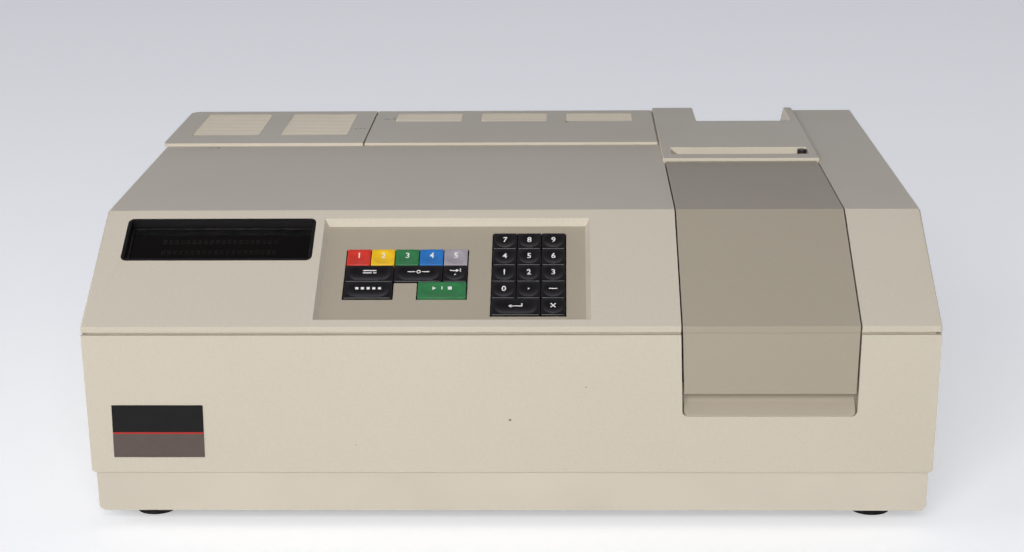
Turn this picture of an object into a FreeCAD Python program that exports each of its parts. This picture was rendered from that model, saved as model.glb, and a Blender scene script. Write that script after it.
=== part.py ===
"""Bench spectrophotometer with a sloping console, a hinged sample lid and its optics inside.

Frame: origin at the bottom centre of the instrument, +X to the right, +Y to the rear, +Z up,
millimetres. Console pieces are drawn in a frame of their own that lies on the slope: its origin is
the middle of the slope's lower edge, its second axis runs up the slope and its third points out.
"""
import FreeCAD, Part
import math
import os
from types import SimpleNamespace

import Sketcher

# Driving sizes, one value each

SIZES = {
    # Whole instrument
    "body_width": 650.0,
    "body_depth": 556.0,
    "foot_height": 12.0,
    "foot_radius": 15.0,
    "foot_inset_side": 44.0,
    "foot_inset_end": 38.0,
    # Base pan, the narrower skirt
    "skirt_height": 31.5,
    "skirt_inset": 3.1,
    "skirt_setback": 1.5,
    "skirt_draft": 0.8,
    "pan_sheet": 2.5,
    "pan_corner": 5.0,
    # Lower housing, the tall band
    "band_height": 109.5,
    "band_draft": 2.7,
    "band_wall": 7.0,
    "band_corner": 3.0,
    "tongue_engagement": 0.9,
    "corner_post": 16.0,
    "rear_opening_side": 22.0,
    "rear_opening_edge": 6.5,
    # Top cover
    "seam_gap": 2.3,
    "lip_height": 4.6,
    "cover_wall": 4.0,
    "cover_edge": 1.5,
    "bay_margin": 10.0,
    # Console layout: the slope is as long as the keys need, and the display takes the rest of the width
    "console_angle": 27.28,
    "key_pitch": 19.05,
    "recess_bottom": 7.7,
    "keys_bottom_margin": 9.8,
    "keys_top_margin": 12.75,
    "keys_left_margin": 20.1,
    "keys_right_margin": 19.25,
    "key_block_gap": 19.25,
    "console_lid_gap": 86.95,
    "fold_margin": 10.4,
    "display_side_margin": 18.8,
    "display_gap": 6.8,
    "display_height": 50.1,
    "display_fold_margin": 10.2,
    # Keys
    "key_gap": 0.7,
    "key_cap": 4.6,
    "key_top": 4.5,
    "key_dish_radius": 26.0,
    "key_dish": 1.0,
    "key_stem": 5.0,
    "key_window_gap": 0.6,
    # Keypad recess, its panel and the board under it
    "recess_depth": 5.7,
    "recess_bevel": 3.5,
    "recess_rim": 3.5,
    "panel_sheet": 1.5,
    "panel_margin": 3.0,
    "board_depth": 15.6,
    "board_sheet": 1.6,
    "switch_side": 12.5,
    "switch_height": 3.6,
    "stem_clearance": 0.3,
    "stem_engagement": 0.9,
    "spacer_radius": 2.5,
    # Display
    "bezel_fit": 0.15,
    "bezel_wall": 2.5,
    "bezel_depth": 12.0,
    "bezel_corner": 5.0,
    "bezel_flange": 2.5,
    "window_depth": 8.0,
    "window_sheet": 2.0,
    "window_ledge": 2.0,
    "glass_side_margin": 9.1,
    "glass_end_margin": 10.0,
    "glass_gap": 1.0,
    # Sample lid and the opening that it closes
    "lid_side_margin": 59.8,
    "lid_opening": 135.7,
    "lid_length": 305.0,
    "lid_gap": 1.2,
    "lid_taper": 1.7,
    "lid_apron": 46.5,
    "lid_wall": 3.0,
    "lid_flange": 12.0,
    "lid_groove": 0.8,
    "lid_groove_drop": 1.1,
    "lid_rear_gap": 1.5,
    "hinge_ahead": 19.0,
    "hinge_drop": 6.0,
    "hinge_pin_radius": 2.0,
    "hinge_pin_length": 6.0,
    "hinge_boss": 8.0,
    "running_clearance": 0.05,
    # Finger recess under the lid
    "grip_drop": 18.0,
    "grip_corner": 4.0,
    "grip_depth": 12.7,
    "grip_rise": 11.0,
    "grip_scoop": 9.0,
    # Raised covers at the rear
    "raised_length": 173.0,
    "raised_rear_margin": 2.0,
    "plate_rear_margin": 12.0,
    "raised_plate": 2.7,
    "raised_corner": 4.0,
    "raised_rear_corner": 10.0,
    "lamp_cover_overhang": 2.8,
    "lamp_cover_width": 182.0,
    "cover_split_gap": 1.6,
    "cover_side_gap": 1.7,
    "louvre_slot": 2.2,
    "louvre_pitch": 7.2,
    "louvre_drop": 1.8,
    "louvre_rear_margin": 27.0,
    "lamp_louvre_count": 15.0,
    "rear_louvre_count": 6.0,
    "lamp_louvre_width": 62.3,
    "lamp_louvre_margin": 17.0,
    "lamp_louvre_gap": 20.9,
    "rear_louvre_margin": 20.3,
    "rear_louvre_gap": 18.9,
    # Detector cover, the bridge behind the lid
    "bridge_overlap": 0.85,
    "bridge_plate": 3.2,
    "bridge_ledge": 3.0,
    "finger_left_margin": 8.5,
    "finger_right_margin": 6.0,
    "finger_front_margin": 18.5,
    "finger_width": 30.0,
    "finger_depth": 13.0,
    "finger_wall": 2.0,
    "finger_taper": 17.0,
    "catch_seat_drop": 6.0,
    "catch_seat": 12.0,
    "catch_ramp": 8.0,
    "catch_clearance": 0.8,
    "catch_radius": 4.0,
    "catch_height": 4.4,
    "catch_slot": 1.6,
    "catch_stem_radius": 2.25,
    "catch_stem": 12.0,
    "notch_left_margin": 39.5,
    "notch_right_margin": 7.6,
    "notch_length": 72.4,
    "notch_depth": 40.0,
    "notch_lean": 9.5,
    "notch_wall": 3.0,
    # Sample compartment
    "well_side_margin": 13.6,
    "well_front_margin": 13.0,
    "well_wall": 4.0,
    "well_height": 43.5,
    "sill_overlap": 5.5,
    "well_leg": 14.0,
    "beam_above_floor": 62.0,
    "sample_beam_setback": 138.0,
    "reference_beam_setback": 218.0,
    "beam_bore": 10.0,
    "beam_window_radius": 14.0,
    "beam_window_sheet": 3.0,
    "cell_side": 12.6,
    "cell_wall": 8.7,
    "cell_below_beam": 15.0,
    "cell_above_beam": 28.0,
    "cell_beam_radius": 4.0,
    "cell_plate": 8.0,
    "cell_plate_margin": 15.0,
    # Nameplate
    "nameplate_side": 20.5,
    "nameplate_width": 70.0,
    "nameplate_height": 41.8,
    "nameplate_lift": 12.5,
    "nameplate_sheet": 0.8,
    # Rear panel and its screws
    "panel_steel": 1.5,
    "panel_gap": 1.0,
    "panel_overlap": 10.0,
    "screw_radius": 2.0,
    "screw_head_radius": 4.0,
    "screw_head": 2.4,
    "screw_length": 10.0,
    "panel_hole_clearance": 0.1,
    # Fan
    "fan_inset": 93.0,
    "fan_side": 60.0,
    "fan_depth": 25.0,
    "fan_duct": 28.0,
    "fan_hub": 13.0,
    "fan_spider": 3.0,
    "fan_spoke": 7.0,
    "fan_motor": 4.0,
    "fan_tip_gap": 1.2,
    "fan_pin": 2.5,
    "fan_end_gap": 1.0,
    "fan_rotor_length": 17.0,
    "fan_blade": 1.6,
    "fan_blade_chord": 15.0,
    # Mains inlet and its rocker
    "inlet_inset": 57.0,
    "inlet_drop": 14.0,
    "inlet_width": 24.0,
    "inlet_height": 56.0,
    "inlet_depth": 30.0,
    "inlet_flange": 2.0,
    "inlet_flange_margin": 5.0,
    "socket_width": 20.4,
    "socket_height": 20.0,
    "socket_depth": 16.0,
    "socket_margin": 2.0,
    "pin_width": 2.0,
    "pin_height": 4.0,
    "pin_side": 7.0,
    "pin_low": 7.0,
    "pin_rise": 5.0,
    "rocker_well_height": 19.0,
    "rocker_well_width": 19.8,
    "rocker_well_depth": 13.0,
    "rocker_gap": 0.4,
    "rocker_clear": 2.2,
    "rocker_lean_in": 2.1,
    "rocker_lean_out": 1.0,
    "rocker_crown": 0.6,
    "rocker_edge": 3.0,
    "rocker_root": 3.0,
    "rocker_pin": 1.5,
    "rocker_pin_length": 1.4,
    # Interface connectors
    "connector_drop": 6.0,
    "connector_pitch": 70.0,
    "connector_depth": 10.0,
    "connector_reach": 4.0,
    "data_port_width": 39.0,
    "serial_port_width": 17.0,
    "port_height": 8.4,
    "round_port": 14.0,
    "port_flange": 7.0,
    "port_flange_sheet": 1.0,
    # Transformer
    "transformer_inset": 20.0,
    "transformer_gap": 25.0,
    "core_width": 80.0,
    "core_depth": 70.0,
    "core_height": 72.0,
    "winding_width": 52.0,
    "winding_overhang": 16.0,
    "winding_lift": 13.0,
    "winding_height": 44.0,
    "transformer_lip": 10.0,
    "transformer_foot": 3.0,
    # Main board
    "main_board_left_gap": 18.0,
    "main_board_right_gap": 6.0,
    "main_board_rear_gap": 28.0,
    "main_board_depth": 120.0,
    "main_board_margin": 8.0,
    "standoff_radius": 4.0,
    "standoff_height": 8.0,
    "chip_width": 34.0,
    "chip_depth": 14.0,
    "chip_height": 4.0,
    "chip_first_row": 20.0,
    "chip_row_pitch": 30.0,
    "capacitor_radius": 9.0,
    "capacitor_height": 26.0,
    "heat_sink_width": 80.0,
    "heat_sink_depth": 20.0,
    "heat_sink_height": 30.0,
    # Optical casting
    "casting_side_gap": 13.0,
    "casting_well_gap": 12.0,
    "casting_front_gap": 35.0,
    "casting_lift": 40.5,
    "casting_plate": 12.0,
    "casting_rib": 8.0,
    "casting_rib_height": 22.0,
    "casting_lamp_gap": 14.0,
    "pillar_radius": 9.0,
    "pillar_inset": 15.0,
    "slit_wall_inset": 155.0,
    "slit_wall_rise": 18.0,
    "slit_width": 2.0,
    "slit_height": 14.0,
    "port_radius": 8.0,
    "entry_inset": 44.0,
    "exit_inset": 124.0,
    # Drives and what they turn
    "motor_radius": 18.0,
    "motor_height": 26.0,
    "shaft_radius": 2.5,
    "shaft_length": 24.0,
    "rotor_lift": 0.4,
    "lamp_mirror_inset": 69.0,
    "lamp_mirror_radius": 16.0,
    "lamp_mirror_sheet": 5.0,
    "hub_radius": 7.0,
    "hub_height": 10.0,
    "stalk_width": 6.0,
    "filter_gap": 40.0,
    "filter_drop": 26.0,
    "filter_wheel_radius": 37.0,
    "filter_wheel_sheet": 3.0,
    "filter_hole_radius": 8.0,
    "filter_motor_radius": 14.4,
    "filter_motor_length": 20.0,
    "filter_bracket": 12.0,
    "grating_inset": 70.0,
    "table_radius": 20.0,
    "table_sheet": 6.0,
    "grating_side": 30.0,
    "grating_sheet": 9.0,
    # Fixed mirrors
    "collimator_inset": 26.0,
    "collimator_width": 40.0,
    "splitter_inset": 60.0,
    "fold_mirror_inset": 40.0,
    "fold_mirror_width": 26.0,
    "mirror_sheet": 5.0,
    "mirror_foot_radius": 12.0,
    "mirror_foot": 4.0,
    # Lamp house
    "lamp_house_overlap": 3.0,
    "lamp_house_width": 140.0,
    "lamp_house_depth": 122.0,
    "lamp_house_rear_gap": 38.0,
    "lamp_shelf_height": 45.5,
    "lamp_sheet": 2.0,
    "lamp_screen_height": 88.0,
    "lamp_pitch": 72.0,
    "lamp_setback": 52.0,
    "arc_flange_radius": 22.0,
    "arc_flange": 4.0,
    "arc_collar_radius": 14.0,
    "arc_collar": 12.0,
    "arc_bulb_radius": 14.5,
    "arc_bulb": 56.0,
    "filament_socket": 20.0,
    "filament_socket_height": 40.0,
    "filament_bulb_radius": 5.5,
    "filament_bulb": 23.0,
    # Detectors
    "detector_gap": 2.0,
    "detector_radius": 13.0,
    "detector_length": 26.0,
    "detector_stand": 4.0,
    "detector_stand_inset": 14.0,
    "detector_margin": 20.0,
    "detector_foot": 3.0,
    "detector_rise": 18.0,
}


# Counts and set angles in degrees

FAN_BLADES = 7
FAN_BLADE_PITCH = 55.0
FILTER_HOLES = 6
COLLIMATOR_TILT = 6.0


class Size:
    """A length that carries the sheet expression it comes from beside its value."""

    def __init__(self, value, text):
        self.value = float(value)
        self.text = text

    def __float__(self):
        return self.value

    def __add__(self, other):
        return Size(self.value + float(other), "(%s + %s)" % (self.text, text_of(other)))

    def __radd__(self, other):
        return Size(float(other) + self.value, "(%s + %s)" % (text_of(other), self.text))

    def __sub__(self, other):
        return Size(self.value - float(other), "(%s - %s)" % (self.text, text_of(other)))

    def __rsub__(self, other):
        return Size(float(other) - self.value, "(%s - %s)" % (text_of(other), self.text))

    def __mul__(self, other):
        return Size(self.value * float(other), "(%s * %s)" % (self.text, text_of(other)))

    def __rmul__(self, other):
        return Size(float(other) * self.value, "(%s * %s)" % (text_of(other), self.text))

    def __truediv__(self, other):
        return Size(self.value / float(other), "(%s / %s)" % (self.text, text_of(other)))

    def __neg__(self):
        return Size(-self.value, "(0 - %s)" % self.text)


def text_of(value):
    """The expression of a Size, or a plain number written out."""
    if isinstance(value, Size):
        return value.text
    return "(%.6f)" % value if value < 0 else "%.6f" % value


def turn_of(name, angle):
    """Sine, cosine or tangent of an angle in degrees."""
    return Size(getattr(math, name)(math.radians(float(angle))), "%s(%s * 1 deg)" % (name, angle.text))


doc = FreeCAD.newDocument("spectrophotometer")
sheet = doc.addObject("Spreadsheet::Sheet", "Sizes")
for row, (alias, number) in enumerate(SIZES.items(), start=1):
    sheet.set("A%d" % row, alias)
    sheet.set("B%d" % row, str(number))
    sheet.setAlias("B%d" % row, alias)
doc.recompute()
S = SimpleNamespace(**{alias: Size(number, "Sizes." + alias) for alias, number in SIZES.items()})
ZERO = Size(0, "0.0")

# Console layout along the slope and across it

keys_bottom = S.recess_bottom + S.keys_bottom_margin
recess_top = keys_bottom + 5 * S.key_pitch + S.keys_top_margin
slope_length = recess_top + S.fold_margin
slope_sin = turn_of("sin", S.console_angle)
slope_cos = turn_of("cos", S.console_angle)
slope_rate = turn_of("tan", S.console_angle)
console_run = slope_length * slope_cos
console_rise = slope_length * slope_sin
key_underside = S.key_top + S.key_cap
switch_top = S.board_depth - S.switch_height
stem_end = switch_top + S.stem_engagement

# Levels, from the bench upwards

half = S.body_width / 2
front = -(S.body_depth / 2)
rear = S.body_depth / 2
pan_bottom = S.foot_height
pan_floor = pan_bottom + S.pan_sheet
band_bottom = pan_bottom + S.skirt_height
band_top = band_bottom + S.band_height
band_middle = (band_bottom + band_top) / 2
lip_bottom = band_top + S.seam_gap
lip_top = lip_bottom + S.lip_height
deck = lip_top + console_rise
slope_back = front + console_run
band_inside = half - S.band_wall
band_front_inside = front + S.band_wall
band_rear_inside = rear - S.band_wall
panel_front = band_rear_inside - S.panel_steel

# The lid's opening and what lines up with it

lid_right = half - S.lid_side_margin
lid_left = lid_right - S.lid_opening
lid_bottom = band_top - S.lid_apron
grip_bottom = lid_bottom - S.grip_drop
lid_rear = front + S.lid_length
hinge_y = lid_rear - S.hinge_ahead
hinge_z = deck - S.hinge_drop
bridge_left = lid_left - S.bridge_overlap
bridge_right = lid_right + S.bridge_overlap
bridge_front = lid_rear + S.lid_rear_gap
raised_front = rear - S.raised_length
raised_rear = rear - S.raised_rear_margin
plate_rear = rear - S.plate_rear_margin
cover_split = -half + S.lamp_cover_width

# Console pieces across the instrument

number_keys_right = lid_left - S.console_lid_gap
number_keys_left = number_keys_right - 3 * S.key_pitch
function_keys_left = number_keys_left - S.key_block_gap - 5 * S.key_pitch
recess_right = number_keys_right + S.keys_right_margin
recess_left = function_keys_left - S.keys_left_margin
display_left = -half + S.display_side_margin
display_right = recess_left - S.display_gap
display_top = slope_length - S.display_fold_margin
display_bottom = display_top - S.display_height

# Sample compartment, casting and beams

well_left = lid_left - S.well_side_margin
well_right = lid_right + S.well_side_margin
well_front = front + S.well_front_margin
well_back = bridge_front + S.bay_margin / 2
well_bottom = pan_floor + S.well_height
well_floor = well_bottom + S.well_wall
well_sill = lid_bottom + S.sill_overlap
beam_z = well_bottom + S.beam_above_floor
sample_beam = front + S.sample_beam_setback
reference_beam = front + S.reference_beam_setback
cell_x = (well_left + well_right) / 2
lamp_house_front = rear - S.lamp_house_rear_gap - S.lamp_house_depth
casting_left = -band_inside + S.casting_side_gap
casting_right = well_left - S.casting_well_gap
casting_front = band_front_inside + S.casting_front_gap
casting_rear = lamp_house_front - S.casting_lamp_gap
casting_bottom = pan_floor + S.casting_lift
casting_top = casting_bottom + S.casting_plate
slit_x = casting_left + S.slit_wall_inset
entry_y = casting_rear - S.entry_inset
exit_y = casting_rear - S.exit_inset
lamp_mirror_x = casting_left + S.lamp_mirror_inset
filter_x = lamp_mirror_x + S.filter_gap
filter_y = entry_y - S.filter_drop
grating_x = slit_x + S.grating_inset
grating_y = (entry_y + exit_y) / 2
rotor_seat = casting_top + S.motor_height + S.rotor_lift
lamp_house_left = casting_left - S.lamp_house_overlap
lamp_house_right = lamp_house_left + S.lamp_house_width
lamp_shelf_top = pan_floor + S.lamp_shelf_height + S.lamp_sheet
lamp_y = lamp_house_front + S.lamp_setback

# Rear fittings

fan_x = -half + S.fan_inset
inlet_x = half - S.inlet_inset
inlet_z = band_middle - S.inlet_drop
connector_z = band_middle - S.connector_drop


def under_slope(depth):
    """Front corner and top corner of the console's line moved inwards by depth."""
    drop = depth / slope_cos
    low = (front + depth, lip_top + depth * slope_rate - drop)
    high = (slope_back + (drop - depth) / slope_rate, deck - depth)
    return low, high


# Drawing helpers

CONSOLE = "console"
nodes = []


def bind(thing, path, value):
    """Give a property its value through an expression."""
    thing.setExpression(path, text_of(value) if isinstance(value, Size) else "%.6f" % value)


def new_body(label):
    """A new body under the node's own name."""
    body = doc.addObject("PartDesign::Body", label)
    body.Label = label
    return body


def keep(label, shape_object):
    """Register a finished sub-part under its node name."""
    shape_object.Label = label
    nodes.append(shape_object)
    return shape_object


def origin_feature(body, role):
    """One of the body's own origin planes or axes."""
    return [item for item in body.Origin.OriginFeatures if item.Role == role][0]


def lean_back(path_owner, prefix):
    """Turn a placement about X by the console's angle."""
    path_owner.setExpression(prefix + "Rotation.Angle", S.console_angle.text + " * 1 deg")


def attach(item, body, plane, level):
    """Lay a sketch on an origin plane at a level, or on the console's surface."""
    role = "XY_Plane" if plane == CONSOLE else plane + "_Plane"
    item.AttachmentSupport = [(origin_feature(body, role), "")]
    item.MapMode = "FlatFace"
    if plane != CONSOLE:
        bind(item, "AttachmentOffset.Base.z", level)
        return
    turn = FreeCAD.Rotation(FreeCAD.Vector(1, 0, 0), float(S.console_angle))
    item.AttachmentOffset = FreeCAD.Placement(FreeCAD.Vector(0, 0, 0), turn)
    lean_back(item, "AttachmentOffset.")
    bind(item, "AttachmentOffset.Base.y", front - level * slope_sin)
    bind(item, "AttachmentOffset.Base.z", lip_top + level * slope_cos)


def pin_point(sketch, edge, end, place):
    """Hold one point of a sketch at its two distances from the sketch's origin."""
    for kind, value in zip(("DistanceX", "DistanceY"), place):
        row = sketch.addConstraint(Sketcher.Constraint(kind, -1, 1, edge, end, float(value)))
        if isinstance(value, Size):
            sketch.setExpression("Constraints[%d]" % row, value.text)


def draw(body, plane, loops, level):
    """Sketch of closed loops: a list of corners, or (centre, radius) for a circle."""
    sketch = body.newObject("Sketcher::SketchObject", body.Name + "_outline")
    attach(sketch, body, plane, level)
    for loop in loops:
        first = sketch.GeometryCount
        if isinstance(loop, tuple):
            centre, radius = loop
            middle = FreeCAD.Vector(float(centre[0]), float(centre[1]), 0)
            sketch.addGeometry(Part.Circle(middle, FreeCAD.Vector(0, 0, 1), float(radius)), False)
            pin_point(sketch, first, 3, centre)
            row = sketch.addConstraint(Sketcher.Constraint("Radius", first, float(radius)))
            if isinstance(radius, Size):
                sketch.setExpression("Constraints[%d]" % row, radius.text)
            continue
        count = len(loop)
        spots = [FreeCAD.Vector(float(a), float(b), 0) for a, b in loop]
        lines = [Part.LineSegment(spots[i], spots[(i + 1) % count]) for i in range(count)]
        sketch.addGeometry(lines, False)
        joins = [
            Sketcher.Constraint("Coincident", first + i, 2, first + (i + 1) % count, 1)
            for i in range(count)
        ]
        sketch.addConstraint(joins)
        for i, place in enumerate(loop):
            pin_point(sketch, first + i, 1, place)
    return sketch


def add(body, plane, loops, low, high):
    """Add material between two levels along the plane's normal axis."""
    level = -high if plane == "XZ" else low
    sketch = draw(body, plane, loops, level)
    pad = body.newObject("PartDesign::Pad", body.Name + "_pad")
    pad.Profile = sketch
    bind(pad, "Length", high - low)
    return pad


def cut(body, plane, loops, low, high):
    """Take material away between two levels along the plane's normal axis."""
    level = -low if plane == "XZ" else high
    sketch = draw(body, plane, loops, level)
    pocket = body.newObject("PartDesign::Pocket", body.Name + "_pocket")
    pocket.Profile = sketch
    bind(pocket, "Length", high - low)
    return pocket


def rectangle(left, right, low, high):
    """Four corners of a rectangle."""
    return [(left, low), (right, low), (right, high), (left, high)]


def around(x, y, wide, tall):
    """Four corners of a rectangle about its centre."""
    return rectangle(x - wide / 2, x + wide / 2, y - tall / 2, y + tall / 2)


def repeat(body, feature, axis, count, pitch):
    """Repeat a feature along one of the body's axes, against its direction."""
    pattern = body.newObject("PartDesign::LinearPattern", body.Name + "_row")
    pattern.Originals = [feature]
    pattern.Direction = (origin_feature(body, axis + "_Axis"), [""])
    pattern.Reversed = True
    bind(pattern, "Length", pitch * (count - 1))
    bind(pattern, "Occurrences", count)
    body.Tip = pattern
    return pattern


def round_edges(body, radius, pick):
    """Round the edges that pick(direction, middle) accepts."""
    doc.recompute()
    base = body.Tip
    names = []
    for number, edge in enumerate(base.Shape.Edges, start=1):
        if not isinstance(edge.Curve, Part.Line):
            continue
        ends = [vertex.Point for vertex in edge.Vertexes]
        direction = (ends[1] - ends[0]).normalize()
        if pick(direction, (ends[0] + ends[1]) * 0.5):
            names.append("Edge%d" % number)
    if not names:
        raise RuntimeError("no edge to round on " + body.Label)
    fillet = body.newObject("PartDesign::Fillet", body.Name + "_fillet")
    fillet.Base = (base, names)
    bind(fillet, "Radius", radius)
    doc.recompute()
    return fillet


def near(value, *targets):
    """True where a coordinate lies at one of the given lines."""
    return any(abs(value - float(target)) < 0.2 for target in targets)


def lay_on_console(shape_object):
    """Move a piece drawn flat onto the console's slope."""
    turn = FreeCAD.Rotation(FreeCAD.Vector(1, 0, 0), float(S.console_angle))
    shape_object.Placement = FreeCAD.Placement(FreeCAD.Vector(0, 0, 0), turn)
    lean_back(shape_object, "Placement.")
    bind(shape_object, "Placement.Base.y", front)
    bind(shape_object, "Placement.Base.z", lip_top)


def block(label, left, right, near_y, far_y, low, high):
    """Rectangular block between six faces."""
    box = doc.addObject("Part::Box", label)
    for path, value in (
        ("Length", right - left),
        ("Width", far_y - near_y),
        ("Height", high - low),
        ("Placement.Base.x", left),
        ("Placement.Base.y", near_y),
        ("Placement.Base.z", low),
    ):
        bind(box, path, value)
    return box


def centred_block(label, x, y, wide, deep, low, high):
    """Rectangular block about an upright centre line."""
    return block(label, x - wide / 2, x + wide / 2, y - deep / 2, y + deep / 2, low, high)


TURNS = {
    "X": FreeCAD.Rotation(FreeCAD.Vector(0, 1, 0), 90),
    "Y": FreeCAD.Rotation(FreeCAD.Vector(1, 0, 0), -90),
    "Z": FreeCAD.Rotation(),
}


def rod(label, axis, start, radius, length):
    """Round bar from its start point along an axis."""
    bar = doc.addObject("Part::Cylinder", label)
    bar.Placement = FreeCAD.Placement(FreeCAD.Vector(0, 0, 0), TURNS[axis])
    bind(bar, "Radius", radius)
    bind(bar, "Height", length)
    for letter, value in zip("xyz", start):
        bind(bar, "Placement.Base." + letter, value)
    return bar


def join(label, parts):
    """One solid from pieces that touch."""
    fuse = doc.addObject("Part::MultiFuse", label)
    fuse.Shapes = parts
    return fuse


def group(label, parts):
    """Separate solids that share one node."""
    compound = doc.addObject("Part::Compound", label)
    compound.Links = parts
    return compound


def take(label, base, tool):
    """Base with the tool's space taken away."""
    difference = doc.addObject("Part::Cut", label)
    difference.Base = base
    difference.Tool = tool
    return difference


# Cabinet

def make_base_pan():
    """Pressed steel tray: its sides are the skirt."""
    body = new_body("base_pan")
    top_half = half - S.band_draft - S.skirt_inset
    low_half = top_half - S.skirt_draft
    sides = [
        (-low_half, pan_bottom), (low_half, pan_bottom),
        (top_half, band_bottom), (-top_half, band_bottom),
    ]
    add(body, "XZ", [sides], front + S.skirt_setback, rear - S.skirt_setback)
    inside = low_half - S.pan_sheet
    depth = rear - S.skirt_setback - S.pan_sheet
    cut(body, "XY", [rectangle(-inside, inside, -depth, depth)], pan_floor, band_bottom)

    def lower_side(direction, middle):
        return abs(direction.y) > 0.99 and near(middle.z, pan_bottom)

    round_edges(body, S.pan_corner, lower_side)
    keep("base_pan", body)


def make_feet():
    """Four round rubber feet under the pan."""
    feet = []
    for side in (-1, 1):
        for end in (-1, 1):
            x = side * (half - S.foot_inset_side)
            y = end * (rear - S.foot_inset_end)
            feet.append(rod("foot", "Z", (x, y, ZERO), S.foot_radius, S.foot_height))
    keep("feet", group("feet", feet))


def corner_posts(side, ends=(-1, 1)):
    """Squares in the corners of the cabinet, where the cover stands on the housing."""
    reach = S.corner_post / 2
    lines = {-1: band_front_inside + reach, 1: panel_front - reach}
    across = band_inside - reach
    return [around(sign * across, lines[end], side, side) for sign in (-1, 1) for end in ends]


def make_lower_housing():
    """Moulded band: front, sides and rear frame, with the cut-out under the lid."""
    body = new_body("lower_housing")
    tongue = lip_bottom + S.tongue_engagement
    low_half = half - S.band_draft
    outline = [
        (-low_half, band_bottom), (low_half, band_bottom), (half, band_top),
        (half, tongue), (-half, tongue), (-half, band_top),
    ]
    add(body, "XZ", [outline], front, rear)
    hollow = rectangle(-band_inside, band_inside, band_front_inside, band_rear_inside)
    cut(body, "XY", [hollow], band_bottom, tongue)
    inner = half - S.cover_wall
    inner_end = rear - S.cover_wall
    ring = [
        rectangle(-(half + S.cover_wall), half + S.cover_wall, front - S.cover_wall, rear + S.cover_wall),
        rectangle(-inner, inner, -inner_end, inner_end),
    ]
    cut(body, "XY", ring, band_top, tongue)
    window = rectangle(
        -(half - S.rear_opening_side), half - S.rear_opening_side,
        band_bottom + S.rear_opening_edge, band_top - S.rear_opening_edge,
    )
    cut(body, "XZ", [window], band_rear_inside, rear)
    low_left = lid_left + S.lid_taper
    low_right = lid_right - S.lid_taper
    notch = [(low_left, grip_bottom), (low_right, grip_bottom), (lid_right, tongue), (lid_left, tongue)]
    cut(body, "XZ", [notch], front, band_front_inside)

    def notch_corner(direction, middle):
        at_foot = near(middle.z, grip_bottom) and near(middle.x, low_left, low_right)
        return at_foot and abs(direction.y) > 0.99

    round_edges(body, S.grip_corner, notch_corner)

    def lower_side(direction, middle):
        return abs(direction.y) > 0.99 and near(middle.z, band_bottom) and near(abs(middle.x), low_half)

    round_edges(body, S.band_corner, lower_side)
    add(body, "XY", corner_posts(S.corner_post), band_bottom, band_top)
    keep("lower_housing", body)


def make_top_cover():
    """One moulding: lip, sloping console, flat deck and rear wall."""
    body = new_body("top_cover")
    shell = [(front, lip_bottom), (rear, lip_bottom), (rear, deck), (slope_back, deck), (front, lip_top)]
    add(body, "YZ", [shell], -half, half)
    wall = S.cover_wall
    low, high = under_slope(wall)
    hollow = [(front + wall, lip_bottom), (rear - wall, lip_bottom), (rear - wall, deck - wall), high, low]
    cut(body, "YZ", [hollow], -(half - wall), half - wall)
    add_recess_frame(body)
    add_hinge_bosses(body)
    inner_post = S.corner_post - wall
    add(body, "XY", corner_posts(inner_post, (-1,)), band_top, lip_top + wall / 2)
    add(body, "XY", corner_posts(inner_post, (1,)), band_top, deck - wall / 2)
    cut(body, "XY", [rectangle(lid_left, lid_right, front - wall, bridge_front)], lip_bottom - wall, deck)
    cut(body, "XY", cover_bays(), deck - wall, deck)
    cut_notch_in_rear_wall(body)
    cut_display_opening(body)
    bore = [((hinge_y, hinge_z), S.hinge_pin_radius + S.running_clearance)]
    cut(body, "YZ", bore, lid_left - S.hinge_boss, lid_right + S.hinge_boss)

    def outer_edge(direction, middle):
        along_side = near(abs(middle.x), half) and abs(direction.x) < 0.01
        return along_side and middle.z > float(lip_bottom) + 1

    round_edges(body, S.cover_edge, outer_edge)
    keep("top_cover", body)


def cover_bays():
    """The three openings in the deck that the raised covers close."""
    margin = S.bay_margin
    bay_rear = plate_rear - margin
    bay_front = raised_front + margin
    return [
        rectangle(bridge_left + S.bridge_ledge, bridge_right - S.bridge_ledge, bridge_front, rear - margin),
        rectangle(-(half - margin), cover_split - margin / 2, bay_front, bay_rear),
        rectangle(cover_split + margin / 2, bridge_left - margin, bay_front, bay_rear),
    ]


def add_recess_frame(body):
    """Thicker frame under the console, with the bevelled hole for the keypad."""
    rim = S.recess_rim
    frame = rectangle(recess_left - rim, recess_right + rim, S.recess_bottom - rim, recess_top + rim)
    add(body, CONSOLE, [frame], -S.recess_depth, -(S.cover_wall / 2))
    outer = rectangle(recess_left, recess_right, S.recess_bottom, recess_top)
    pocket = cut(body, CONSOLE, [outer], -S.recess_depth, ZERO)
    lean = "-1 * atan2(%s; %s)" % (S.recess_bevel.text, S.recess_depth.text)
    pocket.setExpression("TaperAngle", lean)


def add_hinge_bosses(body):
    """Two bosses beside the lid opening that hold the lid's pins."""
    boss = S.hinge_boss
    side = rectangle(hinge_y - boss, hinge_y + boss, hinge_z - boss, deck - S.cover_wall / 2)
    add(body, "YZ", [side], lid_left - boss, lid_left)
    add(body, "YZ", [side], lid_right, lid_right + boss)


def notch_lines():
    """Left, right and floor of the rear notch, and the run of its leaning sides."""
    left = bridge_left + S.notch_left_margin
    right = bridge_right - S.notch_right_margin
    return left, right, deck - S.notch_depth


def cut_notch_in_rear_wall(body):
    """Way out through the cover's rear wall for the notch of the detector cover."""
    wall = S.notch_wall
    left, right, floor = notch_lines()
    gap = [
        (left + S.notch_lean - wall, floor - wall), (right - S.notch_lean + wall, floor - wall),
        (right + wall + S.lid_gap, deck), (left - wall - S.lid_gap, deck),
    ]
    cut(body, "XZ", [gap], rear - S.bay_margin, rear)


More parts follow.
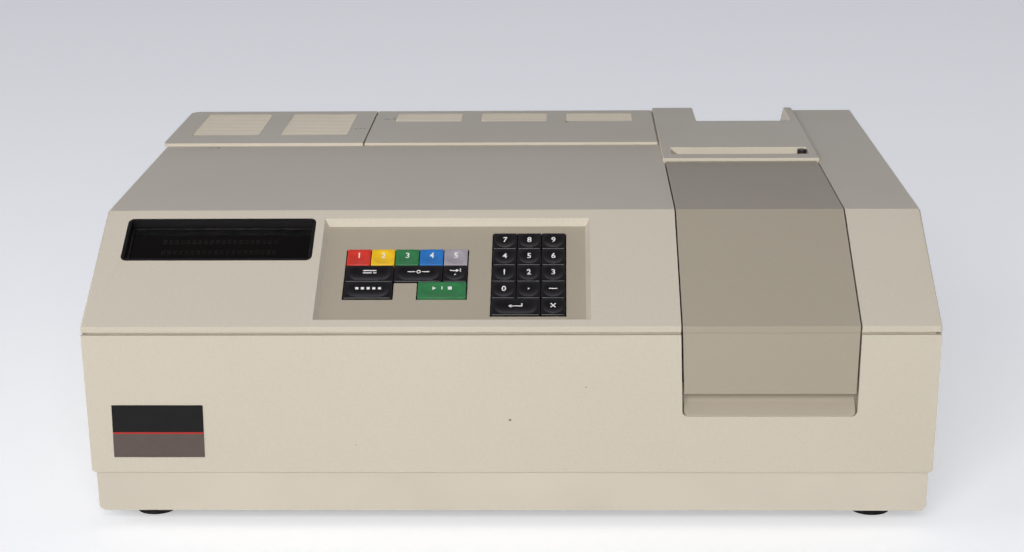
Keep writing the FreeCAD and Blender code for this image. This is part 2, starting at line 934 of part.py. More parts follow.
def cut_display_opening(body):
    """Hole that the display bezel fills."""
    gap = S.bezel_fit
    left = display_left - gap
    right = display_right + gap
    hole = rectangle(left, right, display_bottom - gap, display_top + gap)
    cut(body, CONSOLE, [hole], -S.bezel_depth, S.cover_wall)

    def corner(direction, middle):
        return near(middle.x, left, right) and abs(direction.z) > 0.5 and abs(direction.x) < 0.01

    round_edges(body, S.bezel_corner + gap, corner)


# Console pieces, drawn flat and laid on the slope

def display_ring(inset):
    """The display's outline moved inwards."""
    return rectangle(
        display_left + inset, display_right - inset, display_bottom + inset, display_top - inset,
    )


def make_display_bezel():
    """Black frame: rim, ledge for the pane and a flange behind the cover's wall."""
    body = new_body("display_bezel")
    add(body, "XY", [display_ring(ZERO)], -S.bezel_depth, ZERO)

    def corner(direction, middle):
        return abs(direction.z) > 0.99

    round_edges(body, S.bezel_corner, corner)
    add(body, "XY", [display_ring(-S.bezel_flange)], -(S.cover_wall + S.bezel_flange), -S.cover_wall)
    seat = S.window_depth + S.window_sheet
    cut(body, "XY", [display_ring(S.bezel_wall)], -seat, ZERO)
    cut(body, "XY", [display_ring(S.bezel_wall + S.window_ledge)], -S.bezel_depth, -seat)
    lay_on_console(body)
    keep("display_bezel", body)


def make_display_window():
    """Smoked pane that lies on the bezel's ledge."""
    body = new_body("display_window")
    pane = display_ring(S.bezel_wall + S.bezel_fit)
    add(body, "XY", [pane], -(S.window_depth + S.window_sheet), -S.window_depth)
    lay_on_console(body)
    keep("display_window", body)


class Key:
    """One key: its node name, block, column, row from the bottom and width in pitches."""

    def __init__(self, label, block_left, column, line, width=1):
        self.label = label
        self.left = block_left + column * S.key_pitch
        self.low = keys_bottom + line * S.key_pitch
        self.width = width
        self.x = self.left + width * S.key_pitch / 2
        self.y = self.low + S.key_pitch / 2


def all_keys():
    """The 24 keys of the console."""
    left = function_keys_left
    colours = ("red", "yellow", "green", "blue", "grey")
    keys = [Key("memory_key_" + colour, left, column, 3) for column, colour in enumerate(colours)]
    keys += [
        Key("print_key", left, 0, 2, 2),
        Key("zero_key", left, 2, 2, 2),
        Key("goto_key", left, 4, 2),
        Key("menu_key", left, 0, 1, 2),
        Key("run_key", left, 3, 1, 2),
    ]
    lines = (("7", "8", "9"), ("4", "5", "6"), ("1", "2", "3"), ("0", "point", "minus"))
    for down, names in enumerate(lines):
        for column, name in enumerate(names):
            keys.append(Key("key_" + name, number_keys_left, column, 4 - down))
    keys.append(Key("enter_key", number_keys_left, 0, 0, 2))
    keys.append(Key("clear_key", number_keys_left, 2, 0))
    return keys


def make_key(key):
    """Cap with a shallow dish on top and a square stem under it."""
    body = new_body(key.label)
    long = key.width * S.key_pitch
    side = S.key_pitch - S.key_gap
    add(body, "XY", [around(key.x, key.y, long - S.key_gap, side)], -key_underside, -S.key_top)
    add(body, "XY", [around(key.x, key.y, S.key_stem, S.key_stem)], -stem_end, -key_underside)
    kind = "Sphere" if key.width == 1 else "Cylinder"
    dish = body.newObject("PartDesign::Subtractive" + kind, key.label + "_dish")
    dish.AttachmentSupport = [(origin_feature(body, "XY_Plane"), "")]
    dish.MapMode = "FlatFace"
    start = key.x
    if kind == "Cylinder":
        dish.AttachmentOffset = FreeCAD.Placement(FreeCAD.Vector(0, 0, 0), TURNS["X"])
        trough = long - S.key_pitch / 2
        bind(dish, "Height", trough)
        start = key.x - trough / 2
    bind(dish, "Radius", S.key_dish_radius)
    bind(dish, "AttachmentOffset.Base.x", start)
    bind(dish, "AttachmentOffset.Base.y", key.y)
    bind(dish, "AttachmentOffset.Base.z", S.key_dish_radius - S.key_top - S.key_dish)
    lay_on_console(body)
    keep(key.label, body)


def key_windows():
    """Openings in the keypad panel: the number block, and the function keys with their gap."""
    gap = S.key_window_gap
    pitch = S.key_pitch
    left = function_keys_left
    low = keys_bottom + pitch
    step = low + pitch - gap
    numbers = rectangle(
        number_keys_left - gap, number_keys_right + gap, keys_bottom - gap, low + 4 * pitch + gap,
    )
    functions = [
        (left - gap, low - gap), (left + 2 * pitch + gap, low - gap),
        (left + 2 * pitch + gap, step), (left + 3 * pitch - gap, step),
        (left + 3 * pitch - gap, low - gap), (left + 5 * pitch + gap, low - gap),
        (left + 5 * pitch + gap, low + 3 * pitch + gap), (left - gap, low + 3 * pitch + gap),
    ]
    return [numbers, functions]


def make_keypad_panel():
    """Taupe plate at the recess floor, with windows for the keys and spacers to the board."""
    body = new_body("keypad_panel")
    margin = S.panel_margin
    top = -S.recess_depth
    plate = rectangle(
        recess_left - margin, recess_right + margin, S.recess_bottom - margin, recess_top + margin,
    )
    add(body, "XY", [plate], top - S.panel_sheet, top)
    cut(body, "XY", key_windows(), top - S.panel_sheet, top)
    spots = []
    for x in (recess_left + margin, recess_right - margin):
        for y in (S.recess_bottom + margin, recess_top - 2 * margin):
            spots.append(((x, y), S.spacer_radius))
    add(body, "XY", spots, -S.board_depth, top - S.panel_sheet / 2)
    lay_on_console(body)
    keep("keypad_panel", body)


def make_console_board():
    """Circuit board with a switch under each key and the display glass."""
    body = new_body("console_board")
    top = -S.board_depth
    far = recess_top - S.panel_margin
    step = display_bottom - S.bezel_depth
    board = [
        (display_left, step), (recess_left, step), (recess_left, S.recess_bottom),
        (recess_right, S.recess_bottom), (recess_right, far), (display_left, far),
    ]
    add(body, "XY", [board], top - S.board_sheet, top)
    side = S.switch_side
    well = S.key_stem + 2 * S.stem_clearance
    cans = [around(key.x, key.y, side, side) for key in all_keys()]
    wells = [around(key.x, key.y, well, well) for key in all_keys()]
    add(body, "XY", cans, top, -switch_top)
    cut(body, "XY", wells, top, -switch_top)
    glass = rectangle(
        display_left + S.glass_side_margin, display_right - S.glass_side_margin,
        display_bottom + S.glass_end_margin, display_top - S.glass_end_margin,
    )
    add(body, "XY", [glass], top, -(S.window_depth + S.window_sheet + S.glass_gap))
    lay_on_console(body)
    keep("console_board", body)


# Sample lid and compartment

def make_sample_lid():
    """Shell with a flat top, a slope and a front apron, and two hinge pins."""
    body = new_body("sample_lid")
    left = lid_left + S.lid_gap
    right = lid_right - S.lid_gap
    wall = S.lid_wall
    deep_low, deep_high = under_slope(S.lid_flange)
    outline = [
        (front, lid_bottom), (front + S.lid_flange, lid_bottom), deep_low, deep_high,
        (lid_rear, deck - S.lid_flange), (lid_rear, deck), (slope_back, deck), (front, lip_top),
    ]
    add(body, "YZ", [outline], left, right)
    thin_low, thin_high = under_slope(wall)
    hollow = [
        (front + wall, lid_bottom + wall), (front + S.lid_flange, lid_bottom + wall), deep_low, deep_high,
        (lid_rear, deck - S.lid_flange), (lid_rear, deck - wall), thin_high, thin_low,
    ]
    cut(body, "YZ", [hollow], left + wall, right - wall)
    reach = front + S.lid_flange
    under = lid_bottom - wall
    for edge, beyond, taper in ((left, left - wall, S.lid_taper), (right, right + wall, -S.lid_taper)):
        wedge = [
            (edge, lip_top), (edge + taper, lid_bottom), (edge + taper, under),
            (beyond, under), (beyond, lip_top),
        ]
        cut(body, "XZ", [wedge], front, reach)
    groove_low = lip_bottom - S.lid_groove_drop
    groove = rectangle(left - wall, right + wall, groove_low, groove_low + S.lid_groove)
    cut(body, "XZ", [groove], front, front + S.lid_groove / 2)
    pins = [((hinge_y, hinge_z), S.hinge_pin_radius)]
    add(body, "YZ", pins, left - S.hinge_pin_length, left + wall / 2)
    add(body, "YZ", pins, right - wall / 2, right + S.hinge_pin_length)
    keep("sample_lid", body)


def make_sample_compartment():
    """Moulded well under the lid, with the finger recess at its front and four legs."""
    body = new_body("sample_compartment")
    wall = S.well_wall
    low, high = under_slope(S.cover_wall)
    slope_at_front = low[1] + (well_front - low[0]) * slope_rate
    side = [
        (well_front, well_bottom), (well_back, well_bottom), (well_back, deck - S.cover_wall),
        high, (well_front, slope_at_front),
    ]
    add(body, "YZ", [side], well_left, well_right)
    inside = rectangle(well_left + wall, well_right - wall, well_front + wall, well_back - wall)
    cut(body, "XY", [inside], well_floor, deck)
    cut(body, "XZ", [rectangle(well_left, well_right, well_sill, deck)], well_front, well_front + wall)
    ledge = S.bridge_ledge + S.lid_gap
    rear_lip = rectangle(bridge_left + ledge, bridge_right - ledge, well_back - wall, well_back)
    add(body, "XY", [rear_lip], deck - S.cover_wall - wall, deck)
    add_finger_recess(body)
    beams = [((y, beam_z), S.beam_bore) for y in (sample_beam, reference_beam)]
    cut(body, "YZ", beams, well_left, well_right)
    leg = S.well_leg
    legs = []
    for x in (well_left + leg, well_right - leg):
        for y in (well_front + leg, well_back - leg):
            legs.append(around(x, y, leg, leg))
    add(body, "XY", legs, pan_floor, well_bottom)
    keep("sample_compartment", body)


def add_finger_recess(body):
    """Taupe insert in the housing's cut-out: a scoop that runs back under the lid's edge."""
    gap = S.lid_gap
    face = front + S.bezel_fit
    foot = grip_bottom + S.bezel_fit
    back = front + S.grip_depth
    behind = well_front + S.well_wall
    scoop = [
        (face, foot), (behind, foot), (behind, lid_bottom - gap),
        (back, lid_bottom - gap), (back, foot + S.grip_rise), (face, foot + gap),
    ]
    left = lid_left + S.lid_taper + gap
    right = lid_right - S.lid_taper - gap
    add(body, "YZ", [scoop], left, right)

    def hollow_edge(direction, middle):
        return abs(direction.x) > 0.99 and near(middle.y, back) and near(middle.z, foot + S.grip_rise)

    round_edges(body, S.grip_scoop, hollow_edge)

    def insert_corner(direction, middle):
        return abs(direction.y) > 0.99 and near(middle.z, foot) and near(middle.x, left, right)

    round_edges(body, S.grip_corner - S.bezel_fit, insert_corner)


def make_beam_windows():
    """Four silica windows on the outer faces of the compartment's side walls."""
    panes = []
    for y in (sample_beam, reference_beam):
        for x in (well_left - S.beam_window_sheet, well_right):
            panes.append(rod("pane", "X", (x, y, beam_z), S.beam_window_radius, S.beam_window_sheet))
    keep("beam_windows", group("beam_windows", panes))


def make_cell_holders():
    """Two square cell holders on a plate that stands on the compartment's floor."""
    body = new_body("cell_holders")
    side = S.cell_side + 2 * S.cell_wall
    edge = side / 2 + S.cell_plate_margin
    plate_top = well_floor + S.cell_plate
    beams = (sample_beam, reference_beam)
    plate = rectangle(cell_x - edge, cell_x + edge, sample_beam - edge, reference_beam + edge)
    add(body, "XY", [plate], well_floor, plate_top)
    top = beam_z + S.cell_above_beam
    add(body, "XY", [around(cell_x, y, side, side) for y in beams], plate_top, top)
    slots = [around(cell_x, y, S.cell_side, S.cell_side) for y in beams]
    cut(body, "XY", slots, beam_z - S.cell_below_beam, top)
    bores = [((y, beam_z), S.cell_beam_radius) for y in beams]
    cut(body, "YZ", bores, cell_x - side / 2, cell_x + side / 2)
    keep("cell_holders", body)


# Raised covers

def cut_louvres(body, left, right, count):
    """Field of slots whose slats slope down to the front, counted from the rear edge."""
    top = deck + S.raised_plate
    end = rear - S.louvre_rear_margin
    start = end - S.louvre_pitch
    slat = start + S.louvre_slot
    slot = [(start, deck), (slat, deck), (slat, top - S.louvre_drop), (end, top), (start, top)]
    first = cut(body, "YZ", [slot], left, right)
    repeat(body, first, "Y", count, S.louvre_pitch)


def make_lamp_cover():
    """Plate with two louvre fields that overhangs the left side."""
    body = new_body("lamp_cover")
    left = -(half + S.lamp_cover_overhang)
    plate = rectangle(left, cover_split - S.cover_split_gap / 2, raised_front, plate_rear)
    add(body, "XY", [plate], deck, deck + S.raised_plate)
    start = -half + S.lamp_louvre_margin
    for _ in range(2):
        cut_louvres(body, start, start + S.lamp_louvre_width, S.lamp_louvre_count)
        start = start + S.lamp_louvre_width + S.lamp_louvre_gap

    def front_corner(direction, middle):
        return abs(direction.z) > 0.99 and near(middle.x, left) and near(middle.y, raised_front)

    round_edges(body, S.raised_corner, front_corner)

    def rear_corner(direction, middle):
        return abs(direction.z) > 0.99 and near(middle.x, left) and near(middle.y, plate_rear)

    round_edges(body, S.raised_rear_corner, rear_corner)
    keep("lamp_cover", body)


def make_rear_cover():
    """Plate with three short louvre fields along its rear edge."""
    body = new_body("rear_cover")
    left = cover_split + S.cover_split_gap / 2
    right = bridge_left - S.cover_side_gap
    add(body, "XY", [rectangle(left, right, raised_front, plate_rear)], deck, deck + S.raised_plate)
    room = right - left - 2 * S.rear_louvre_margin - 2 * S.rear_louvre_gap
    start = left + S.rear_louvre_margin
    for _ in range(3):
        cut_louvres(body, start, start + room / 3, S.rear_louvre_count)
        start = start + room / 3 + S.rear_louvre_gap
    keep("rear_cover", body)


def make_detector_cover():
    """Cover behind the lid: finger slot with its trough, and the duct of the rear notch."""
    body = new_body("detector_cover")
    top = deck + S.bridge_plate
    add(body, "XY", [rectangle(bridge_left, bridge_right, bridge_front, raised_rear)], deck, top)
    wall = S.finger_wall
    left = bridge_left + S.finger_left_margin
    right = bridge_right - S.finger_right_margin
    low = bridge_front + S.finger_front_margin
    high = low + S.finger_width
    floor = top - S.finger_depth
    add(body, "XY", [rectangle(left - wall, right + wall, low - wall, high + wall)], floor - wall, deck)
    cut(body, "XY", [rectangle(left, right, low, high)], floor, top)
    ramp = [(left, floor), (left + S.finger_taper, floor), (left, top - S.bridge_plate / 2)]
    shelf = top - S.catch_seat_drop
    seat = right - S.catch_seat
    step = [(seat - S.catch_ramp, floor), (right, floor), (right, shelf), (seat, shelf)]
    add(body, "XZ", [ramp, step], low, high)
    hole = [(catch_place(), S.catch_stem_radius + S.running_clearance)]
    cut(body, "XY", hole, floor - wall, shelf)
    add_notch_duct(body, top)
    keep("detector_cover", body)


def add_notch_duct(body, top):
    """Duct with leaning sides round the notch, open to the rear and to the top."""
    wall = S.notch_wall
    lean = S.notch_lean
    left, right, floor = notch_lines()
    start = rear - S.notch_length
    outer = [
        (left + lean - wall, floor - wall), (right - lean + wall, floor - wall),
        (right + wall, deck), (left - wall, deck),
    ]
    add(body, "XZ", [outer], start - wall, raised_rear)
    inner = [(left + lean, floor), (right - lean, floor), (right, top), (left, top)]
    cut(body, "XZ", [inner], start, raised_rear)


def catch_place():
    """Centre of the catch, in the rear right corner of the finger slot."""
    room = S.catch_radius + S.catch_clearance
    rear_side = bridge_front + S.finger_front_margin + S.finger_width
    return bridge_right - S.finger_right_margin - room, rear_side - room


def make_cover_catch():
    """Quarter-turn catch: slotted head on the seat in the slot, with a stem through the trough."""
    body = new_body("cover_catch")
    place = catch_place()
    seat = deck + S.bridge_plate - S.catch_seat_drop + S.rotor_lift
    top = seat + S.catch_height
    add(body, "XY", [(place, S.catch_radius)], seat, top)
    add(body, "XY", [(place, S.catch_stem_radius)], seat - S.catch_stem, seat)
    across = around(place[0], place[1], 2 * S.catch_radius, S.catch_slot)
    cut(body, "XY", [across], top - 2 * S.catch_slot, top)
    keep("cover_catch", body)


# Front and rear fittings

def make_nameplate():
    """Thin blank plate on the front panel."""
    left = -half + S.nameplate_side
    low = band_bottom + S.nameplate_lift
    plate = block(
        "nameplate", left, left + S.nameplate_width, front - S.nameplate_sheet, front,
        low, low + S.nameplate_height,
    )
    keep("nameplate", plate)


def make_rear_panel():
    """Steel plate behind the rear frame, with the holes of what it carries."""
    body = new_body("rear_panel")
    side = half - S.rear_opening_side + S.panel_overlap
    plate = rectangle(-side, side, band_bottom + S.panel_gap, band_top - S.panel_gap)
    add(body, "XZ", [plate], panel_front, band_rear_inside)
    fit = 2 * S.panel_hole_clearance
    holes = [
        ((fan_x, band_middle), S.fan_duct),
        around(inlet_x, inlet_z, S.inlet_width + fit, S.inlet_height + fit),
    ]
    for x, wide, tall in connector_places():
        holes.append(around(x, connector_z, wide + fit, tall + fit))
    for place in screw_places():
        holes.append((place, S.screw_radius + S.panel_hole_clearance))
    cut(body, "XZ", holes, panel_front, band_rear_inside)
    keep("rear_panel", body)


def connector_places():
    """Centre, width and height of the interface connectors, from left to right."""
    middle = (fan_x + inlet_x) / 2
    return (
        (middle - S.connector_pitch, S.data_port_width, S.port_height),
        (middle, S.serial_port_width, S.port_height),
        (middle + S.connector_pitch, S.round_port, S.round_port),
    )


def screw_places():
    """Where the rear panel's screws sit, inside the rear opening."""
    side = half - S.rear_opening_side - S.panel_overlap
    rise = S.band_height / 2 - S.rear_opening_edge - S.panel_overlap
    return [(x, z) for x in (-side, side) for z in (band_middle - rise, band_middle + rise)]


def make_cover_screws():
    """Pan-head screws through the rear panel."""
    screws = []
    for x, z in screw_places():
        head = rod("screw_head", "Y", (x, band_rear_inside, z), S.screw_head_radius, S.screw_head)
        start = band_rear_inside - S.screw_length
        shank = rod("screw_shank", "Y", (x, start, z), S.screw_radius, S.screw_length)
        screws.append(join("screw", [head, shank]))
    keep("cover_screws", group("cover_screws", screws))


def make_interface_connectors():
    """Two flat shell connectors and one square one, seated on the rear panel."""
    parts = []
    seat = band_rear_inside
    for x, wide, tall in connector_places():
        half_wide = wide / 2
        half_tall = tall / 2
        shell = block(
            "shell", x - half_wide, x + half_wide, seat - S.connector_depth, seat + S.connector_reach,
            connector_z - half_tall, connector_z + half_tall,
        )
        flange = block(
            "flange", x - half_wide - S.port_flange, x + half_wide + S.port_flange,
            seat, seat + S.port_flange_sheet, connector_z - half_tall - 2, connector_z + half_tall + 2,
        )
        parts.append(join("connector", [shell, flange]))
    keep("interface_connectors", group("interface_connectors", parts))


def rocker_well():
    """Centre of the rocker's well: across, and up."""
    top = inlet_z + S.inlet_height / 2 - S.socket_margin
    return inlet_x, top - S.rocker_well_height / 2


def make_power_inlet():
    """Mains inlet module: flange, body, plug socket with three pins and the rocker's well."""
    body = new_body("power_inlet")
    face = band_rear_inside + S.inlet_flange
    flange = around(
        inlet_x, inlet_z, S.inlet_width + 2 * S.inlet_flange_margin, S.inlet_height + S.inlet_flange_margin,
    )
    add(body, "XZ", [flange], band_rear_inside, face)
    inner = around(inlet_x, inlet_z, S.inlet_width, S.inlet_height)
    add(body, "XZ", [inner], band_rear_inside - S.inlet_depth, band_rear_inside)
    x, z = rocker_well()
    well = [around(x, z, S.rocker_well_width, S.rocker_well_height)]
    cut(body, "XZ", well, face - S.rocker_well_depth, face)
    low = inlet_z - S.inlet_height / 2 + S.socket_margin
    side = S.socket_width / 2
    floor = face - S.socket_depth
    cut(body, "XZ", [rectangle(inlet_x - side, inlet_x + side, low, low + S.socket_height)], floor, face)
    spots = ((-S.pin_side, S.pin_low), (ZERO, S.pin_low + S.pin_rise), (S.pin_side, S.pin_low))
    pins = [around(inlet_x + across, low + up, S.pin_width, S.pin_height) for across, up in spots]
    add(body, "XZ", pins, floor, face - S.inlet_flange)
    reach = S.rocker_well_width / 2 + S.rocker_pin_length
    axle = [((rocker_axis_y(), z), S.rocker_pin + S.running_clearance)]
    cut(body, "YZ", axle, x - reach, x + reach)
    keep("power_inlet", body)


def rocker_axis_y():
    """Depth of the rocker's pivot."""
    return band_rear_inside - S.inlet_flange


def make_power_switch():
    """Rocker with two faces and pivot pins, resting on its off side."""
    body = new_body("power_switch")
    x, z = rocker_well()
    y = rocker_axis_y()
    reach = S.rocker_well_height / 2 - S.rocker_clear
    rim = band_rear_inside + S.inlet_flange
    crest = rim + S.rocker_crown
    root = S.rocker_root
    profile = [
        (y - root, z - root), (y - root, z + root), (rim - S.rocker_edge, z + reach),
        (crest - S.rocker_lean_in, z + reach), (crest, z), (crest + S.rocker_lean_out, z - reach),
        (rim - S.rocker_edge, z - reach),
    ]
    side = S.rocker_well_width / 2 - S.rocker_gap
    add(body, "YZ", [profile], x - side, x + side)
    end = side + S.rocker_pin_length
    add(body, "YZ", [((y, z), S.rocker_pin)], x - end, x + end)
    keep("power_switch", body)


def make_fan_frame():
    """Square fan frame with its duct, spider, motor and bearing pin."""
    body = new_body("fan_frame")
    face = panel_front - S.fan_depth
    place = (fan_x, band_middle)
    add(body, "XZ", [around(fan_x, band_middle, S.fan_side, S.fan_side)], face, panel_front)
    cut(body, "XZ", [(place, S.fan_duct)], face, panel_front)
    span = S.fan_duct * 2 + 1
    add(body, "XZ", [around(fan_x, band_middle, span, S.fan_spoke)], face, face + S.fan_spider)
    add(body, "XZ", [around(fan_x, band_middle, S.fan_spoke, span)], face, face + S.fan_spider)
    add(body, "XZ", [(place, S.fan_hub)], face, face + S.fan_motor)
    add(body, "XZ", [(place, S.fan_pin)], face, face + S.fan_motor + S.fan_end_gap + S.fan_rotor_length)
    keep("fan_frame", body)


def make_fan_rotor():
    """Hub and blades that run on the frame's pin."""
    start = panel_front - S.fan_depth + S.fan_motor + S.fan_end_gap
    length = S.fan_rotor_length
    reach = S.fan_duct - S.fan_tip_gap
    hub = rod("hub", "Y", (fan_x, start, band_middle), S.fan_hub, length)
    blades = []
    for number in range(FAN_BLADES):
        blade = doc.addObject("Part::Box", "blade")
        bind(blade, "Length", reach)
        bind(blade, "Width", S.fan_blade)
        bind(blade, "Height", S.fan_blade_chord)
        turn = FreeCAD.Rotation(FreeCAD.Vector(0, 1, 0), 360.0 * number / FAN_BLADES)
        pitch = FreeCAD.Rotation(FreeCAD.Vector(1, 0, 0), -FAN_BLADE_PITCH)
        blade.Placement = FreeCAD.Placement(FreeCAD.Vector(0, 0, 0), turn * pitch)
        bind(blade, "Placement.Base.x", fan_x)
        bind(blade, "Placement.Base.y", start + length / 5)
        bind(blade, "Placement.Base.z", band_middle)
        blades.append(blade)
    clipped = doc.addObject("Part::Common", "clipped")
    clipped.Base = join("blades", blades)
    clipped.Tool = rod("sweep", "Y", (fan_x, start, band_middle), reach, length)
    wheel = join("wheel", [hub, clipped])
    bore = rod("bore", "Y", (fan_x, start - 1, band_middle), S.fan_pin + S.running_clearance, length + 2)
    keep("fan_rotor", take("fan_rotor", wheel, bore))


# Power and electronics

def make_transformer():
    """Mains transformer: core, winding and foot plate on the pan's floor."""
    foot_width = S.core_width + 2 * S.transformer_lip
    x = well_left + S.transformer_inset + foot_width / 2
    y = well_back + S.transformer_gap + S.winding_overhang + S.core_depth / 2
    foot_top = pan_floor + S.transformer_foot
    winding_deep = S.core_depth + 2 * S.winding_overhang
    winding_low = foot_top + S.winding_lift
    winding_top = winding_low + S.winding_height
    parts = [
        centred_block("foot_plate", x, y, foot_width, S.core_depth, pan_floor, foot_top),
        centred_block("core", x, y, S.core_width, S.core_depth, foot_top, foot_top + S.core_height),
        centred_block("winding", x, y, S.winding_width, winding_deep, winding_low, winding_top),
    ]
    keep("transformer", join("transformer", parts))


def make_main_board():
    """Processor and supply board on standoffs, with its larger components."""
    left = lamp_house_right + S.main_board_left_gap
    right = well_left - S.main_board_right_gap
    far = rear - S.main_board_rear_gap
    near_edge = far - S.main_board_depth
    margin = S.main_board_margin
    low = pan_floor + S.standoff_height
    top = low + S.board_sheet
    seat = top - S.board_sheet / 2
    parts = [block("board", left, right, near_edge, far, low, top)]
    for x in (left + margin, right - margin):
        for y in (near_edge + margin, far - margin):
            parts.append(rod("standoff", "Z", (x, y, pan_floor), S.standoff_radius, S.standoff_height + 1))
    spread = (right - left - 4 * margin - S.chip_width) / 3
    for row in range(2):
        y = near_edge + S.chip_first_row + row * S.chip_row_pitch
        for column in range(3):
            x = left + 2 * margin + column * spread
            parts.append(block("chip", x, x + S.chip_width, y, y + S.chip_depth, seat, top + S.chip_height))
        x = right - 2 * margin - S.capacitor_radius
        place = (x, y + S.chip_depth / 2, seat)
        parts.append(rod("capacitor", "Z", place, S.capacitor_radius, S.capacitor_height))
    middle = (left + right) / 2
    y = far - margin - S.heat_sink_depth / 2
    parts.append(centred_block(
        "heat_sink", middle, y, S.heat_sink_width, S.heat_sink_depth, seat, top + S.heat_sink_height,
    ))
    keep("main_board", join("main_board", parts))


# Optics

def make_optical_base():
    """Cast plate on pillars, with a rib round its edge and the slit wall across it."""
    body = new_body("optical_base")
    left = casting_left
    right = casting_right
    near_y = casting_front
    far_y = casting_rear
    rib = S.casting_rib
    rib_top = casting_top + S.casting_rib_height
    add(body, "XY", [rectangle(left, right, near_y, far_y)], casting_bottom, casting_top)
    fence = [
        rectangle(left, right, near_y, far_y),
        rectangle(left + rib, right - rib, near_y + rib, far_y - rib),
    ]
    add(body, "XY", fence, casting_top, rib_top)
    wall = rectangle(slit_x - rib / 2, slit_x + rib / 2, near_y + rib / 2, far_y - rib / 2)
    add(body, "XY", [wall], casting_top, beam_z + S.slit_wall_rise)
    holes = [around(y, beam_z, S.slit_width, S.slit_height) for y in (entry_y, exit_y)]
    holes.append(((sample_beam, beam_z), S.port_radius))
    cut(body, "YZ", holes, slit_x - rib, slit_x + rib)
    inset = S.pillar_inset
    pillars = []
    for x in (left + inset, right - inset):
        for y in (near_y + inset, far_y - inset):
            pillars.append(((x, y), S.pillar_radius))
    add(body, "XY", pillars, pan_floor, casting_bottom)
    keep("optical_base", body)


def upright_motor(x, y):
    """Stepper motor standing on the casting, with its shaft."""
    can = rod("motor_can", "Z", (x, y, casting_top), S.motor_radius, S.motor_height)
    shaft = rod("motor_shaft", "Z", (x, y, casting_top), S.shaft_radius, S.motor_height + S.shaft_length)
    return join("motor", [can, shaft])


def filter_motor():
    """Motor that lies along X on its bracket, with the filter wheel's shaft."""
    face = filter_x + 2 * S.filter_wheel_sheet
    can = rod("filter_can", "X", (face, filter_y, beam_z), S.filter_motor_radius, S.filter_motor_length)
    start = filter_x - S.filter_wheel_sheet
    shaft = rod("filter_shaft", "X", (start, filter_y, beam_z), S.shaft_radius, S.filter_motor_length)
    end = face + S.filter_motor_length
    bracket = block(
        "filter_bracket", end - S.filter_bracket, end, filter_y - S.filter_motor_radius,
        filter_y + S.filter_motor_radius, casting_top, beam_z,
    )
    return join("filter_motor", [can, shaft, bracket])


def make_drive_motors():
    """The three drives of the lamp mirror, the filter wheel and the grating."""
    motors = [upright_motor(lamp_mirror_x, entry_y), filter_motor(), upright_motor(grating_x, grating_y)]
    keep("drive_motors", group("drive_motors", motors))


def shaft_bore(x, y):
    """Running bore over an upright motor's shaft."""
    length = S.shaft_length + S.shaft_radius
    return rod("shaft_bore", "Z", (x, y, rotor_seat - 1), S.shaft_radius + S.running_clearance, length)


def make_lamp_mirror():
    """Round mirror on an upright holder that turns on its motor's shaft."""
    x, y = lamp_mirror_x, entry_y
    back = y + S.shaft_radius + 3 * S.running_clearance
    hub = rod("mirror_hub", "Z", (x, y, rotor_seat), S.hub_radius, S.hub_height)
    half_stalk = S.stalk_width / 2
    stalk = block(
        "mirror_stalk", x - half_stalk, x + half_stalk, back, back + S.lamp_mirror_sheet,
        rotor_seat, beam_z,
    )
    disc = rod("mirror_disc", "Y", (x, back + 1, beam_z), S.lamp_mirror_radius, S.lamp_mirror_sheet)
    solid = join("mirror_body", [hub, stalk, disc])
    keep("lamp_mirror", take("lamp_mirror", solid, shaft_bore(x, y)))


def make_filter_wheel():
    """Disc with a ring of filter holes on the filter motor's shaft."""
    sheet_size = S.filter_wheel_sheet
    start = filter_x - 1
    through = sheet_size + 2
    disc = rod("wheel_disc", "X", (filter_x, filter_y, beam_z), S.filter_wheel_radius, sheet_size)
    bore = S.shaft_radius + S.running_clearance
    holes = [rod("wheel_bore", "X", (start, filter_y, beam_z), bore, through)]
    for number in range(FILTER_HOLES):
        angle = math.tau * number / FILTER_HOLES
        y = filter_y + S.filter_drop * math.cos(angle)
        z = beam_z + S.filter_drop * math.sin(angle)
        holes.append(rod("filter_hole", "X", (start, y, z), S.filter_hole_radius, through))
    keep("filter_wheel", take("filter_wheel", disc, join("wheel_holes", holes)))


def make_grating_table():
    """Square grating on a turntable that rides on its motor's shaft."""
    x, y = grating_x, grating_y
    table = rod("table", "Z", (x, y, rotor_seat), S.table_radius, S.table_sheet)
    shaft_top = casting_top + S.motor_height + S.shaft_length
    low = shaft_top + S.running_clearance * 6
    top = beam_z + S.grating_side / 2
    side = S.grating_side
    front_face = x + S.shaft_radius + 3 * S.running_clearance
    back = block(
        "grating_back", front_face, front_face + S.table_sheet, y - side / 2, y + side / 2, rotor_seat, top,
    )
    blank = block(
        "grating_blank", x - S.grating_sheet / 2, front_face + 1, y - side / 2, y + side / 2, low, top,
    )
    solid = join("grating_body", [table, back, blank])
    keep("grating_table", take("grating_table", solid, shaft_bore(x, y)))


def standing_mirror(x, y, turn, width):
    """Flat mirror on a foot, turned about the upright axis."""
    plate = doc.addObject("Part::Box", "mirror_plate")
    sheet_size = S.mirror_sheet
    seat = casting_top + S.mirror_foot - 1
    bind(plate, "Length", width)
    bind(plate, "Width", sheet_size)
    bind(plate, "Height", beam_z + width / 2 - seat)
    half_cos = math.cos(math.radians(turn)) / 2
    half_sin = math.sin(math.radians(turn)) / 2
    about = FreeCAD.Rotation(FreeCAD.Vector(0, 0, 1), turn)
    plate.Placement = FreeCAD.Placement(FreeCAD.Vector(0, 0, 0), about)
    bind(plate, "Placement.Base.x", x - width * half_cos + sheet_size * half_sin)
    bind(plate, "Placement.Base.y", y - width * half_sin - sheet_size * half_cos)
    bind(plate, "Placement.Base.z", seat)
    foot = rod("mirror_foot", "Z", (x, y, casting_top), S.mirror_foot_radius, S.mirror_foot)
    return join("mirror", [plate, foot])


